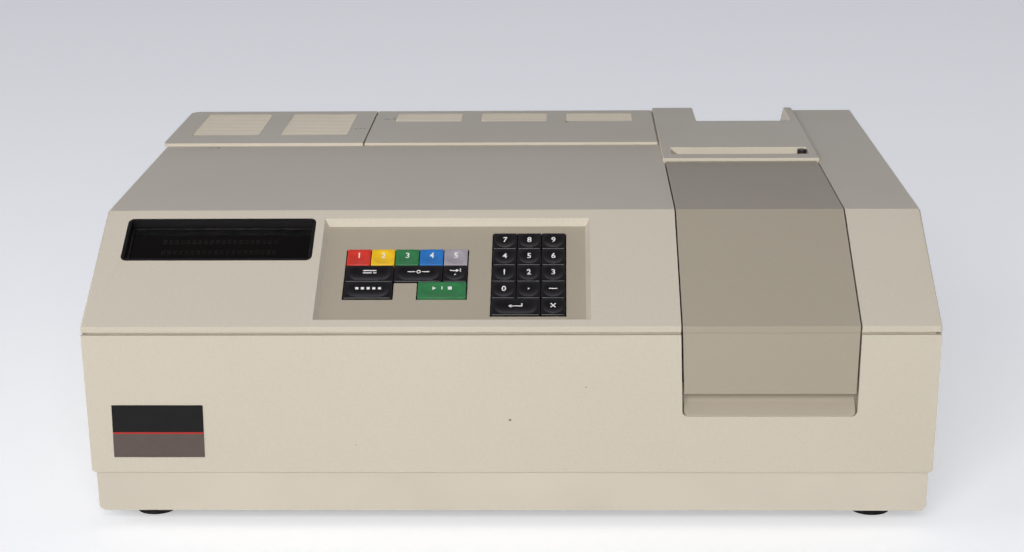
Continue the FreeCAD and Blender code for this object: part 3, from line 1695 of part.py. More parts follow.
def make_fixed_mirrors():
    """Collimators, fold mirrors and the beam splitter on the casting."""
    far_x = casting_right - S.collimator_inset
    split_x = casting_right - S.splitter_inset
    fold_x = casting_left + S.fold_mirror_inset
    wide = S.collimator_width
    narrow = S.fold_mirror_width
    mirrors = [
        standing_mirror(far_x, entry_y, 90.0 - COLLIMATOR_TILT, wide),
        standing_mirror(far_x, exit_y, 90.0 + COLLIMATOR_TILT, wide),
        standing_mirror(fold_x, exit_y, 135.0, narrow),
        standing_mirror(fold_x, sample_beam, 45.0, narrow),
        standing_mirror(split_x, sample_beam, 45.0, narrow),
        standing_mirror(split_x, reference_beam, 45.0, narrow),
    ]
    keep("fixed_mirrors", group("fixed_mirrors", mirrors))


def make_lamp_house():
    """Sheet tray for the lamps, with side legs on the pan and a screen between the lamps."""
    left = lamp_house_left
    right = lamp_house_right
    near_y = lamp_house_front
    far_y = lamp_house_front + S.lamp_house_depth
    sheet_size = S.lamp_sheet
    under = lamp_shelf_top - sheet_size
    leg_top = lamp_shelf_top - sheet_size / 2
    middle = (left + right) / 2
    parts = [
        block("shelf", left, right, near_y, far_y, under, lamp_shelf_top),
        block("left_leg", left, left + sheet_size, near_y, far_y, pan_floor, leg_top),
        block("right_leg", right - sheet_size, right, near_y, far_y, pan_floor, leg_top),
        block(
            "screen", middle - sheet_size / 2, middle + sheet_size / 2, near_y, far_y,
            leg_top, lamp_shelf_top + S.lamp_screen_height,
        ),
    ]
    keep("lamp_house", join("lamp_house", parts))


def make_deuterium_lamp():
    """Arc lamp: base flange, collar and glass bulb with a domed top."""
    x = (lamp_house_left + lamp_house_right) / 2 + S.lamp_pitch / 2
    y = lamp_y
    collar_top = lamp_shelf_top + S.arc_flange + S.arc_collar
    flange = rod("flange", "Z", (x, y, lamp_shelf_top), S.arc_flange_radius, S.arc_flange)
    collar_length = S.arc_flange + S.arc_collar + 1
    collar = rod("collar", "Z", (x, y, lamp_shelf_top), S.arc_collar_radius, collar_length)
    bulb = rod("bulb", "Z", (x, y, collar_top), S.arc_bulb_radius, S.arc_bulb)
    dome = doc.addObject("Part::Sphere", "dome")
    bind(dome, "Radius", S.arc_bulb_radius)
    for letter, value in zip("xyz", (x, y, collar_top + S.arc_bulb)):
        bind(dome, "Placement.Base." + letter, value)
    keep("deuterium_lamp", join("deuterium_lamp", [flange, collar, bulb, dome]))


def make_halogen_lamp():
    """Filament lamp: ceramic socket block and a small bulb."""
    x = (lamp_house_left + lamp_house_right) / 2 - S.lamp_pitch / 2
    socket_top = lamp_shelf_top + S.filament_socket_height
    side = S.filament_socket
    socket = centred_block("socket", x, lamp_y, side, side, lamp_shelf_top, socket_top)
    bulb = rod("small_bulb", "Z", (x, lamp_y, socket_top - 1), S.filament_bulb_radius, S.filament_bulb + 1)
    keep("halogen_lamp", join("halogen_lamp", [socket, bulb]))


def make_detectors():
    """Two photodiode heads on an upright bracket right of the compartment."""
    left = well_right + S.beam_window_sheet + S.detector_gap
    low = sample_beam - S.detector_margin
    high = reference_beam + S.detector_margin
    stand = left + S.detector_stand_inset
    foot_top = pan_floor + S.detector_foot
    parts = [
        block("stand", stand, stand + S.detector_stand, low, high, pan_floor, beam_z + S.detector_rise),
        block("stand_foot", left, left + S.detector_length, low, high, pan_floor, foot_top),
    ]
    for y in (sample_beam, reference_beam):
        parts.append(rod("head", "X", (left, y, beam_z), S.detector_radius, S.detector_length))
    keep("detectors", join("detectors", parts))


# Build order

def build():
    """Make every sub-part."""
    make_base_pan()
    make_feet()
    make_lower_housing()
    make_top_cover()
    make_display_bezel()
    make_display_window()
    make_keypad_panel()
    make_console_board()
    for key in all_keys():
        make_key(key)
    make_sample_lid()
    make_sample_compartment()
    make_beam_windows()
    make_cell_holders()
    make_lamp_cover()
    make_rear_cover()
    make_detector_cover()
    make_cover_catch()
    make_nameplate()
    make_rear_panel()
    make_cover_screws()
    make_interface_connectors()
    make_power_inlet()
    make_power_switch()
    make_fan_frame()
    make_fan_rotor()
    make_transformer()
    make_main_board()
    make_optical_base()
    make_drive_motors()
    make_lamp_mirror()
    make_filter_wheel()
    make_grating_table()
    make_fixed_mirrors()
    make_lamp_house()
    make_deuterium_lamp()
    make_halogen_lamp()
    make_detectors()


def check_and_write():
    """Refuse a failed or invalid piece, then write one file per node."""
    doc.recompute()
    for item in doc.Objects:
        if "Invalid" in item.State or "Error" in item.State:
            raise RuntimeError("%s failed: %s" % (item.Label, item.State))
    os.makedirs("parts", exist_ok=True)
    for item in nodes:
        shape = item.Shape
        if shape.isNull() or not shape.isValid() or not shape.Solids:
            raise RuntimeError("bad shape: " + item.Label)
        shape.exportStep("parts/%s.step" % item.Label)


build()
check_and_write()
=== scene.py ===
"""Looks of a bench ultraviolet-visible spectrophotometer, dressed over its packed construction model.

Lengths are millimetres until a mesh is stored, in the model's own frame: +X to the instrument's
right, +Y to its rear, +Z up, with the origin on the bench under the middle of the instrument.
"""
from __future__ import annotations

import logging
import math
from dataclasses import dataclass
from enum import Enum
from itertools import product
from typing import Any, Iterable, Iterator, Sequence

import bmesh
import bpy
from bmesh.types import BMEdge, BMesh, BMVert
from bpy.types import NodeSocket
from mathutils import Matrix, Vector


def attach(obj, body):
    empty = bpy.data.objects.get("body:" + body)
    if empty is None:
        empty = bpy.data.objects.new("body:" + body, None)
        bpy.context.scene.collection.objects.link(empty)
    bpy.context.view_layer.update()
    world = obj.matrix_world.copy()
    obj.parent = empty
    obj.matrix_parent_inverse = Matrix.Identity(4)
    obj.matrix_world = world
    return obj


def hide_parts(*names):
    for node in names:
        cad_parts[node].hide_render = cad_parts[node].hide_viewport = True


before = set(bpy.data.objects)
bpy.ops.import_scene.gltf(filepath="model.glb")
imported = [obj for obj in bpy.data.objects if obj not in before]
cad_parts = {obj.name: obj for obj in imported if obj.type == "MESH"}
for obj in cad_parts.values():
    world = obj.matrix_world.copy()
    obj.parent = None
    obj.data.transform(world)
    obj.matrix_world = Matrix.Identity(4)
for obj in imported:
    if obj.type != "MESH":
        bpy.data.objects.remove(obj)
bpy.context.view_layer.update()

log = logging.getLogger("spectrophotometer")

Pair = tuple[float, float]
Place = tuple[float, float, float]
Profile = tuple[Pair, ...]
Colour = tuple[float, float, float, float]
METRE = 0.001
CABINET = "cabinet"
UP = (0, 0, 1)
REARWARD = (0, 1, 0)


# Colours and nodes


def linear(code: str) -> Colour:
    """Turn an sRGB hex colour into linear light.

    Args:
        code: colour such as "#D1C8B7".

    Returns:
        Red, green, blue and a full alpha.
    """
    levels = [int(code[i:i + 2], 16) / 255 for i in (1, 3, 5)]
    red, green, blue = (v / 12.92 if v <= 0.04045 else ((v + 0.055) / 1.055) ** 2.4 for v in levels)
    return red, green, blue, 1.0


def per_mm(size: float) -> float:
    """Pattern scale that gives features of a size in millimetres on Object coordinates."""
    return 1.0 / (size * METRE)


class Nodes:
    """Node tree in the making."""

    def __init__(self, tree: bpy.types.NodeTree) -> None:
        """Take over a tree."""
        self.tree = tree

    def feed(self, socket: NodeSocket, value: Any) -> None:
        """Link an output to an input, or set the input to a value."""
        if isinstance(value, NodeSocket):
            self.tree.links.new(value, socket)
        else:
            socket.default_value = value

    def add(self, kind: str, inputs: dict[Any, Any] | None = None, stops: Sequence[tuple[float, str]] = (),
            **settings: Any) -> bpy.types.Node:
        """Add a shader node with its settings and links.

        Args:
            kind: node type without its ShaderNode prefix.
            inputs: socket name or number, with a value or the output socket that feeds it.
            stops: places and hex colours of a colour ramp.
            settings: properties of the node.

        Returns:
            The new node.
        """
        made = self.tree.nodes.new("ShaderNode" + kind)
        for name, value in settings.items():
            setattr(made, name, value)
        for key, value in (inputs or {}).items():
            self.feed(made.inputs[key], value)
        for number, (place, code) in enumerate(stops):
            ramp = made.color_ramp.elements
            stop = ramp[number] if number < 2 else ramp.new(place)
            stop.position = place
            stop.color = linear(code)
        return made

    def remap(self, level: Any, start: float, end: float, low: float = 0.0, high: float = 1.0) -> NodeSocket:
        """A level's range carried to new limits and held within them."""
        return self.add("MapRange", {0: level, 1: start, 2: end, 3: low, 4: high}).outputs[0]

    def ramp(self, level: Any, *stops: tuple[float, str]) -> NodeSocket:
        """A level turned into colours."""
        return self.add("ValToRGB", {0: level}, stops).outputs[0]

    def scalar(self, operation: str, *values: Any, **settings: Any) -> NodeSocket:
        """A calculation on numbers."""
        return self.add("Math", dict(enumerate(values)), operation=operation, **settings).outputs[0]

    def vector(self, operation: str, *values: Any) -> NodeSocket:
        """A calculation on vectors or colours."""
        made = self.add("VectorMath", dict(enumerate(values)), operation=operation)
        return made.outputs["Value" if operation == "LENGTH" else "Vector"]

    def mix(self, share: NodeSocket, first: Any, second: Any) -> NodeSocket:
        """Two colours mixed by the share of the second."""
        return self.add("Mix", {0: share, 6: first, 7: second}, data_type="RGBA").outputs[2]


class Skin(Nodes):
    """Principled shader of one material, with patterns on Object coordinates."""

    def __init__(self, tree: bpy.types.NodeTree) -> None:
        """Take over a plain material's tree."""
        super().__init__(tree)
        self.inputs = tree.nodes["Principled BSDF"].inputs
        self.where = self.add("TexCoord").outputs["Object"]

    def put(self, name: str, value: Any) -> None:
        """Set or link one of the shader's inputs."""
        self.feed(self.inputs[name], value)

    def axis(self, name: str) -> NodeSocket:
        """The Object coordinate along an axis."""
        return self.add("SeparateXYZ", {0: self.where}).outputs[name]

    def noise(self, size: float, detail: float = 3.0, stretch: Place = (1.0, 1.0, 1.0)) -> NodeSocket:
        """Noise on Object coordinates.

        Args:
            size: width of its features in millimetres.
            detail: finer octaves in it.
            stretch: how many times finer it is along X, Y and Z.

        Returns:
            Its level, about a half on average.
        """
        lines = self.add("Mapping", {"Vector": self.where, "Scale": stretch}).outputs[0]
        return self.add("TexNoise", {"Vector": lines, "Scale": per_mm(size), "Detail": detail}).outputs[0]

    def spread(self, level: NodeSocket, low: float, high: float) -> NodeSocket:
        """A noise's middle range carried to two limits."""
        return self.remap(level, 0.3, 0.7, low, high)

    def tint(self, colour: str | NodeSocket, level: NodeSocket) -> None:
        """Make the base colour a colour times a level."""
        base = linear(colour)[:3] if isinstance(colour, str) else colour
        self.put("Base Color", self.vector("MULTIPLY", base, level))

    def relief(self, height: NodeSocket, depth: float) -> None:
        """Raise the surface by a pattern, by a depth in millimetres."""
        bump = self.add("Bump", {"Height": height, "Distance": depth * METRE})
        self.put("Normal", bump.outputs["Normal"])


# Finishes


@dataclass(frozen=True)
class Finish:
    """Surface of one real material, made into a material once."""

    name: str
    colour: str = "#808080"
    roughness: float = 0.5
    gloss: float = 0.5

    def material(self) -> bpy.types.Material:
        """The finish's material, made at its first use."""
        found = bpy.data.materials.get(self.name)
        if found is not None:
            return found
        made = bpy.data.materials.new(self.name)
        made.use_nodes = True
        skin = Skin(made.node_tree)
        skin.put("Base Color", linear(self.colour))
        skin.put("Roughness", self.roughness)
        skin.put("Specular IOR Level", self.gloss)
        self.dress(skin)
        return made

    def dress(self, skin: Skin) -> None:
        """Add the pattern of the material to a plain shader."""
        raise NotImplementedError

    def wear(self, skin: Skin, level: NodeSocket, less: float, more: float) -> None:
        """Let a noise take the roughness below and above its own value."""
        skin.put("Roughness", skin.spread(level, self.roughness - less, self.roughness + more))


@dataclass(frozen=True)
class Blemish:
    """Small scuff or speck of dirt: where it is, how far it reaches on each axis and its colour."""

    place: Place
    reach: Place
    tone: str = "#6A6258"
    strength: float = 0.9

    def cover(self, skin: Skin, colour: NodeSocket) -> NodeSocket:
        """Lay the blemish over a colour.

        Args:
            skin: the material's shader.
            colour: output with the colour so far.

        Returns:
            Output with the blemish in the colour.
        """
        away = skin.vector("SUBTRACT", skin.where, Vector(self.place) * METRE)
        away = skin.vector("LENGTH", skin.vector("MULTIPLY", away, tuple(per_mm(v) for v in self.reach)))
        return skin.mix(skin.remap(away, 1.0, 0.45, 0.0, self.strength), colour, linear(self.tone))


@dataclass(frozen=True)
class TexturedMoulding(Finish):
    """Foam moulding under sprayed texture paint: nearly matt, with a pebble that breaks up the sheen."""

    handled: str = "#808080"
    pebble: float = 1.1
    depth: float = 0.035
    hand: float = 260.0
    blemishes: tuple[Blemish, ...] = ()

    def dress(self, skin: Skin) -> None:
        """Tone of handling over a hand's width, the paint's pebble, and any blemishes."""
        cloud = skin.noise(self.hand)
        tone = skin.ramp(cloud, (0.3, self.colour), (0.75, self.handled))
        pebble = skin.noise(self.pebble, 2.0)
        colour = skin.vector("MULTIPLY", tone, skin.spread(pebble, 0.965, 1.035))
        for mark in self.blemishes:
            colour = mark.cover(skin, colour)
        skin.put("Base Color", colour)
        self.wear(skin, cloud, 0.03, 0.05)
        skin.relief(pebble, self.depth)


@dataclass(frozen=True)
class PaintedSheet(Finish):
    """Powder-coated steel sheet: an orange-peel skin that catches soft light."""

    peel: float = 2.2
    depth: float = 0.05

    def dress(self, skin: Skin) -> None:
        """Orange-peel relief with a little dust in its tone."""
        skin.tint(self.colour, skin.spread(skin.noise(90.0, 5.0), 0.94, 1.03))
        skin.relief(skin.noise(self.peel, 1.0), self.depth)


@dataclass(frozen=True)
class Moulding(Finish):
    """Small satin moulding such as ABS or nylon: smooth, with faint flow marks."""

    grain: float = 0.8
    depth: float = 0.01

    def dress(self, skin: Skin) -> None:
        """Flow marks in the tone and the gloss, and a trace of tool grain."""
        flow = skin.noise(self.grain * 9)
        skin.tint(self.colour, skin.spread(flow, 0.94, 1.05))
        self.wear(skin, flow, 0.04, 0.05)
        skin.relief(skin.noise(self.grain, 2.0), self.depth)


@dataclass(frozen=True)
class Rubber(Finish):
    """Moulded nitrile rubber: matt black with a dusty bloom."""

    def dress(self, skin: Skin) -> None:
        """Bloom of dust in soft patches."""
        bloom = skin.noise(6.0, 5.0)
        skin.put("Base Color", skin.ramp(bloom, (0.4, self.colour), (0.75, "#3A3836")))
        skin.relief(bloom, 0.04)


@dataclass(frozen=True)
class Ink(Finish):
    """Screen ink or filled engraving, also used as flat black painted shade in recesses: flat and matt, thin
    at places.
    """

    def dress(self, skin: Skin) -> None:
        """Slight wear in the ink."""
        skin.tint(self.colour, skin.spread(skin.noise(1.5, 2.0), 0.9, 1.0))


class Lay(Enum):
    """Direction of the lines that working leaves in a metal."""

    ACROSS = (1.0, 30.0, 30.0)
    ALONG = (30.0, 1.0, 30.0)
    UPRIGHT = (30.0, 30.0, 1.0)
    STACKED = (0.2, 0.2, 8.0)
    CAST = (1.0, 1.0, 1.0)


@dataclass(frozen=True)
class Metal(Finish):
    """Bare, plated or anodised metal whose working shows as lines or as a cast skin."""

    lay: Lay = Lay.CAST
    grain: float = 6.0
    depth: float = 0.02
    metallic: float = 1.0

    def dress(self, skin: Skin) -> None:
        """Stretch a noise along the lay, for tone, roughness and relief."""
        grain = skin.noise(self.grain, 4.0, self.lay.value)
        skin.tint(self.colour, skin.spread(grain, 0.88, 1.06))
        self.wear(skin, grain, 0.05, 0.07)
        skin.put("Metallic", self.metallic)
        skin.relief(grain, self.depth)


@dataclass(frozen=True)
class ClearPane(Finish):
    """Clear or tinted pane, lens or bulb: transparent, with a trace of dust."""

    refraction: float = 1.49

    def dress(self, skin: Skin) -> None:
        """Let light through, with faint dust in the gloss."""
        self.wear(skin, skin.noise(14.0, 6.0), 0.0, 0.06)
        skin.put("IOR", self.refraction)
        skin.put("Transmission Weight", 1.0)


DARK_GLASS = "#0B0A0C"


@dataclass(frozen=True)
class CircuitLaminate(Finish):
    """Glass-epoxy board under solder resist: tracks show as paler lines, and the display end is glass."""

    track: str = "#2F7A52"
    pad: str = "#B9B4A0"
    glass_from: float = -1000.0

    def dress(self, skin: Skin) -> None:
        """Tracks on a 2.5 mm grid with pads, and dark glass left of a line across the board."""
        board = linear(self.colour)
        bricks = skin.add("TexBrick", {
            "Vector": skin.where, "Color1": board, "Color2": board, "Mortar": linear(self.track),
            "Scale": per_mm(10), "Mortar Size": 0.03, "Brick Width": 1.7, "Row Height": 0.25,
        }, offset=0.4, offset_frequency=2, squash_frequency=3).outputs
        pads = skin.add("TexVoronoi", {"Vector": skin.where, "Scale": per_mm(5.08)}).outputs["Distance"]
        dotted = skin.mix(skin.remap(pads, 0.16, 0.12), bricks[0], linear(self.pad))
        glass = skin.scalar("LESS_THAN", skin.axis("X"), self.glass_from * METRE)
        skin.put("Base Color", skin.mix(glass, dotted, linear(DARK_GLASS)))
        skin.relief(bricks[1], 0.04)


@dataclass(frozen=True)
class BandedPlate(Finish):
    """Screen-printed aluminium plate: black above, a red rule, warm grey below, all under a matt lacquer."""

    low: float = 56.0
    high: float = 97.8
    rule: Pair = (74.7, 76.1)
    rule_tone: str = "#B0352F"
    low_tone: str = "#5F544F"

    def dress(self, skin: Skin) -> None:
        """Change colour by height on the plate, with scuffs in the lacquer."""
        share = skin.remap(skin.axis("Z"), self.low * METRE, self.high * METRE)
        marks = [(v - self.low) / (self.high - self.low) for v in self.rule]
        bands = skin.add("ValToRGB", {0: share}, [
            (0.0, self.low_tone), (marks[0], self.rule_tone), (marks[1], self.colour)])
        bands.color_ramp.interpolation = "CONSTANT"
        scuff = skin.noise(9.0, 6.0)
        skin.tint(bands.outputs[0], skin.spread(scuff, 0.93, 1.05))
        self.wear(skin, scuff, 0.06, 0.1)
        skin.relief(scuff, 0.006)


@dataclass(frozen=True)
class LitCells(Finish):
    """Unlit phosphor on a display glass: greyish cells made of dots, only just lighter than the glass."""

    dot: float = 0.8

    def dress(self, skin: Skin) -> None:
        """Dots on the cell's own grid."""
        dots = skin.add("TexVoronoi", {"Vector": skin.where, "Scale": per_mm(self.dot), "Randomness": 0.0})
        skin.put("Base Color", skin.ramp(dots.outputs["Distance"], (0.3, self.colour), (0.6, DARK_GLASS)))


@dataclass(frozen=True)
class RuledGrating(Finish):
    """Aluminised grating: a mirror with the faint spectrum that its ruling throws painted into its colour
    along its height.
    """

    low: float = 107.0
    high: float = 135.0
    ruling: float = 0.6

    def dress(self, skin: Skin) -> None:
        """Painted reflection of a spectrum in bands of colour with height, and rulings drawn far coarser than
        real, so that they show.
        """
        share = skin.remap(skin.axis("Z"), self.low * METRE, self.high * METRE)
        # Spectrum colours in the base colour: painted reflection of the light that the ruling splits.
        skin.put("Base Color", skin.ramp(share, (0.0, "#B48CA0"), (0.3, "#C9A07A"), (0.5, "#A9BE8E"),
                                         (0.7, "#86A9C4"), (1.0, "#9C90C2")))
        scale = math.tau * per_mm(self.ruling) / 20
        lines = skin.add("TexWave", {"Vector": skin.where, "Scale": scale}, bands_direction="Y")
        skin.put("Metallic", 1.0)
        skin.relief(lines.outputs[1], 0.004)


HOUSING = "#D1C8B8"
HANDLED = "#CEC5B4"
TAUPE = "#AEA493"
# Instrument mouldings in beige texture paint: a dry, even surface whose sheen only shows at a low angle.
housing_paint = TexturedMoulding("textured_paint_beige", HOUSING, 0.62, 0.12, handled=HANDLED, blemishes=(
    Blemish((-283.0, 96.8, 222.2), (5.0, 1.6, 2.0), "#7C776F", 0.75),
    Blemish((-275.6, 96.8, 222.2), (2.2, 2.4, 2.0), "#5E5A55", 0.85),
))
# The same paint on the front band, with the speck and the pinhole that its wear has left.
front_paint = TexturedMoulding("textured_paint_beige_front", HOUSING, 0.6, 0.25, handled=HANDLED, blemishes=(
    Blemish((0.1, -278.0, 85.8), (1.4, 2.0, 1.3)),
    Blemish((58.0, -278.0, 112.0), (0.7, 2.0, 0.6)),
    Blemish((-118.0, -278.0, 66.0), (0.6, 2.0, 0.5)),
))
# The same paint on the lift-off covers, a little smoother, with a dotted scuff and flecks of dirt.
cover_paint = TexturedMoulding("textured_paint_beige_covers", HOUSING, 0.6, 0.12, handled="#CBC2B1",
                               pebble=0.9, blemishes=(
    Blemish((-156.6, 174.5, 224.9), (1.5, 2.6, 2.0), strength=0.6),
    Blemish((-152.6, 174.5, 224.9), (1.3, 2.6, 2.0), strength=0.75),
    Blemish((-148.6, 174.5, 224.9), (1.5, 2.6, 2.0), strength=0.6),
    Blemish((-130.5, 222.8, 224.9), (4.6, 3.2, 2.0), "#85807A", 0.6),
    Blemish((-124.2, 224.5, 224.9), (1.5, 5.0, 2.0), "#6F6A64", 0.7),
    Blemish((43.6, 207.0, 224.0), (1.9, 4.6, 4.0), "#4A4540", 0.95),
    Blemish((52.4, 208.0, 224.0), (1.4, 3.6, 4.0), "#6A655F", 0.8),
))
# Taupe texture paint of the lid and the keypad insert: greyer and a trace smoother from use.
taupe_paint = TexturedMoulding("textured_paint_taupe", TAUPE, 0.58, 0.2, handled="#AAA08F", pebble=0.9)
# The compartment's moulding in a taupe paint lighter than the lid's: painted light that offsets the shade in
# the finger recess under the lid.
bay_paint_with_painted_light = TexturedMoulding("textured_paint_bay_painted_light", "#B7AD9D", 0.6, 0.22, handled="#B2A897", pebble=0.9)
# Powder coat on steel: the same beige with an orange peel that the mouldings lack.
pan_paint = PaintedSheet("powder_coat_beige", "#D2C9B9", 0.55, 0.3)
# Grey powder coat of the rear panel and the lamp tray, a harder and cooler surface.
panel_paint = PaintedSheet("powder_coat_grey", "#A5A199", 0.5, 0.35)
foot_rubber = Rubber("nitrile_rubber", "#141312", 0.85, 0.3)  # soaks up light, dusty where it is touched
black_moulding = Moulding("abs_black_satin", "#151315", 0.42, 0.35)  # deep black with a soft highlight
nylon_black = Moulding("nylon_black", "#1B1A1B", 0.5)  # greyer and duller than ABS
smoked_pane = ClearPane("smoked_acrylic", "#7C7679", 0.04, 0.35)  # nearly black over a dark well
silica = ClearPane("polished_silica", "#F4F8FA", 0.02, refraction=1.46)  # colourless, bright at its rims
lamp_glass = ClearPane("blown_silica", "#EEF3F5", 0.03, refraction=1.46)  # clear bulb with a faint haze
filter_glass = ClearPane("orange_filter_glass", "#D98A3A", 0.03, refraction=1.52)  # deep orange disc
plate_print = BandedPlate("printed_aluminium_plate", "#131112", 0.6, 0.2)
board_laminate = CircuitLaminate("glass_epoxy_green", "#1F5A38", 0.4)
console_laminate = CircuitLaminate("glass_epoxy_with_display", "#101412", 0.3, 0.25, "#1A221E", "#23231F",
                                   glass_from=-152.0)
phosphor = LitCells("unlit_phosphor", "#DAD6D2", 0.6, 0.2)
# Black anodising with a metallic glint at its edges.
anodised_black = Metal("anodised_black", "#1D1D20", 0.42, grain=0.9, metallic=0.4)
cast_alloy = Metal("cast_aluminium", "#9FA1A4", 0.52, grain=1.4, depth=0.12)  # pale, frosted, faintly lumpy
plated_steel = Metal("zinc_plated_steel", "#B5B7BA", 0.32, lay=Lay.ACROSS)  # cool bright grey with fine lines
dark_steel = Metal("blackened_steel", "#4A4642", 0.4, lay=Lay.ALONG)  # brown-black with worn glints
# Stacked sheets drawn 1.5 mm thick, three times the real ones, so that they show.
core_steel = Metal("varnished_laminations", "#4A433C", 0.45, lay=Lay.STACKED, grain=12.0, depth=0.15,
                   metallic=0.6)
nickel = Metal("nickel_sheet", "#A9A49B", 0.35, lay=Lay.UPRIGHT)  # warm grey electrode metal
brass = Metal("gold_plated_contacts", "#C9A65A", 0.3, grain=2.0, depth=0.004)  # small yellow glints
mirror_coat = Metal("aluminised_mirror", "#E6E8EA", 0.06, grain=40.0, depth=0.0004)  # clean first surface
grating_face_painted_spectrum = RuledGrating("ruled_grating_painted_spectrum", "#B0B0C0", 0.12)
ceramic = Moulding("steatite_ceramic", "#D9D3C6", 0.55)  # chalky cream insulator
winding_tape = Moulding("polyester_tape", "#B08A2E", 0.3, 0.5, grain=2.5)  # glossy amber wrap
sleeve_blue = Moulding("shrunk_vinyl_sleeve", "#27407A", 0.3)  # glossy blue can sleeve
epoxy_black = Moulding("epoxy_chip", "#1A1A1B", 0.6)  # matt black chip body
key_black = Moulding("keycap_black", "#171518", 0.32, 0.7)  # satin cap, light along its dish's rim
key_paints = {name: Moulding("keycap_" + name, tone, 0.36, 0.4) for name, tone in (
    ("red", "#D23A2C"), ("yellow", "#F0C022"), ("green", "#35794A"), ("blue", "#2E74BC"),
    ("grey", "#A59DA4"))}
white_ink = Ink("white_legend_ink", "#E9E7E2", 0.6, 0.3)  # opaque white, a little soft at the edges
# Flat black that stands for the depth of a slot or hole: painted shade.
recess_shade_ink = Ink("painted_recess_shade", "#0E0D0E", 0.7, 0.2)  # depth of a slot or hole


# Meshes


def bevel(mesh: BMesh, parts: Iterable[Any], width: float, steps: int, affect: str = "EDGES",
          clamp: bool = False) -> dict[str, Any]:
    """Round edges or corners and give back the operator's result."""
    return bmesh.ops.bevel(mesh, geom=list(parts), offset=width, offset_type="OFFSET", segments=steps,
                           profile=0.5, affect=affect, material=-1, clamp_overlap=clamp)


def edges_of(corners: Iterable[BMVert]) -> set[BMEdge]:
    """Every edge at some corners."""
    return {side for corner in corners for side in corner.link_edges}


def thicken(mesh: BMesh, depth: float) -> None:
    """Give flat faces a depth below themselves."""
    under = bmesh.ops.extrude_face_region(mesh, geom=mesh.faces[:])["geom"]
    bmesh.ops.translate(mesh, vec=(0, 0, -depth), verts=[part for part in under if isinstance(part, BMVert)])


def aim(axis: Sequence[float]) -> Matrix:
    """Turn that takes up to an axis."""
    return Vector(UP).rotation_difference(Vector(axis)).to_matrix().to_4x4()


@dataclass(frozen=True, kw_only=True)
class Shape:
    """Plain shape that is added to a mesh once at each of its spots."""

    spots: Sequence[Place] = ((0, 0, 0),)

    def add(self, mesh: BMesh) -> None:
        """Add every copy of the shape."""
        for spot in self.spots:
            self.copy(mesh, Vector(spot))

    def copy(self, mesh: BMesh, spot: Vector) -> None:
        """Add one copy, moved by a spot."""
        raise NotImplementedError


@dataclass(frozen=True)
class Slab(Shape):
    """Block with softened edges, by its middle and its size."""

    middle: Place
    size: Place
    edge: float = 0.0
    steps: int = 2

    def copy(self, mesh: BMesh, spot: Vector) -> None:
        """Add one block."""
        turn = Matrix.Translation(Vector(self.middle) + spot) @ Matrix.Diagonal((*self.size, 1.0))
        corners = bmesh.ops.create_cube(mesh, size=1.0, matrix=turn)["verts"]
        if self.edge > 0:
            bevel(mesh, edges_of(corners), self.edge, self.steps, clamp=True)


@dataclass(frozen=True)
class Turned(Shape):
    """Turned shape, by the radius and height of each point of its profile and where its axis starts."""

    profile: Profile
    centre: Place = (0, 0, 0)
    axis: Place = UP
    steps: int = 32

    def copy(self, mesh: BMesh, spot: Vector) -> None:
        """Spin the profile once."""
        before = set(mesh.verts)
        corners = [mesh.verts.new((radius, 0.0, height)) for radius, height in self.profile]
        lines = [mesh.edges.new(pair) for pair in zip(corners, corners[1:])]
        bmesh.ops.spin(mesh, geom=corners + lines, cent=(0, 0, 0), axis=UP, dvec=(0, 0, 0),
                       angle=math.tau, steps=self.steps, use_merge=True, use_duplicate=False)
        made = [corner for corner in mesh.verts if corner not in before]
        bmesh.ops.remove_doubles(mesh, verts=made, dist=1e-4)
        made = [corner for corner in mesh.verts if corner not in before]
        place = Matrix.Translation(Vector(self.centre) + spot) @ aim(self.axis)
        bmesh.ops.transform(mesh, matrix=place, verts=made)


@dataclass(frozen=True)
class Bar(Shape):
    """Straight bar between two points, closed at both ends, with any edge taken off its corners."""

    start: Place
    end: Place
    radius: float
    steps: int = 8
    edge: float = 0.0

    def copy(self, mesh: BMesh, spot: Vector) -> None:
        """Add one bar."""
        along = Vector(self.end) - Vector(self.start)
        middle = Matrix.Translation((Vector(self.start) + Vector(self.end)) / 2 + spot)
        made = bmesh.ops.create_cone(mesh, cap_ends=True, segments=self.steps, radius1=self.radius,
                                     radius2=self.radius, depth=along.length, matrix=middle @ aim(along))
        if self.edge > 0:
            bevel(mesh, edges_of(made["verts"]), self.edge, 1)


def spaced(middle: float, pitch: float, count: int) -> list[float]:
    """Evenly spaced numbers about a middle."""
    return [middle + (number - (count - 1) / 2) * pitch for number in range(count)]


def grid(across: Iterable[float] = (0,), back: Iterable[float] = (0,),
         up: Iterable[float] = (0,)) -> list[Place]:
    """Every spot of a grid along the three axes."""
    return list(product(across, back, up))


def corners(across: float = 0.0, back: float = 0.0, up: float = 0.0,
            middle: Place = (0, 0, 0)) -> list[Place]:
    """Spots on both sides of a middle along each axis that has a reach."""
    return grid(*((level - reach, level + reach) if reach else (level,)
                  for level, reach in zip(middle, (across, back, up))))


def circle(radius: float, degrees: Iterable[float], axes: tuple[int, int]) -> list[Place]:
    """Spots on a circle about the origin.

    Args:
        radius: radius of the circle.
        degrees: angle of each spot.
        axes: numbers of the two axes of its plane.

    Returns:
        The spots.
    """
    made = []
    for angle in map(math.radians, degrees):
        spot = [0.0, 0.0, 0.0]
        spot[axes[0]], spot[axes[1]] = radius * math.cos(angle), radius * math.sin(angle)
        made.append(tuple(spot))
    return made


def hoop(radius: float, wire: float, sides: int = 8) -> Profile:
    """Closed profile of a ring of round wire, by the radii of the ring and of the wire."""
    angles = [math.tau * number / sides for number in range(sides)] + [0.0]
    return tuple((radius + wire * math.cos(angle), wire * math.sin(angle)) for angle in angles)


def show(name: str, data: bpy.types.ID) -> bpy.types.Object:
    """Put a mesh, a lamp or a camera in the scene."""
    made = bpy.data.objects.new(name, data)
    bpy.context.scene.collection.objects.link(made)
    return made


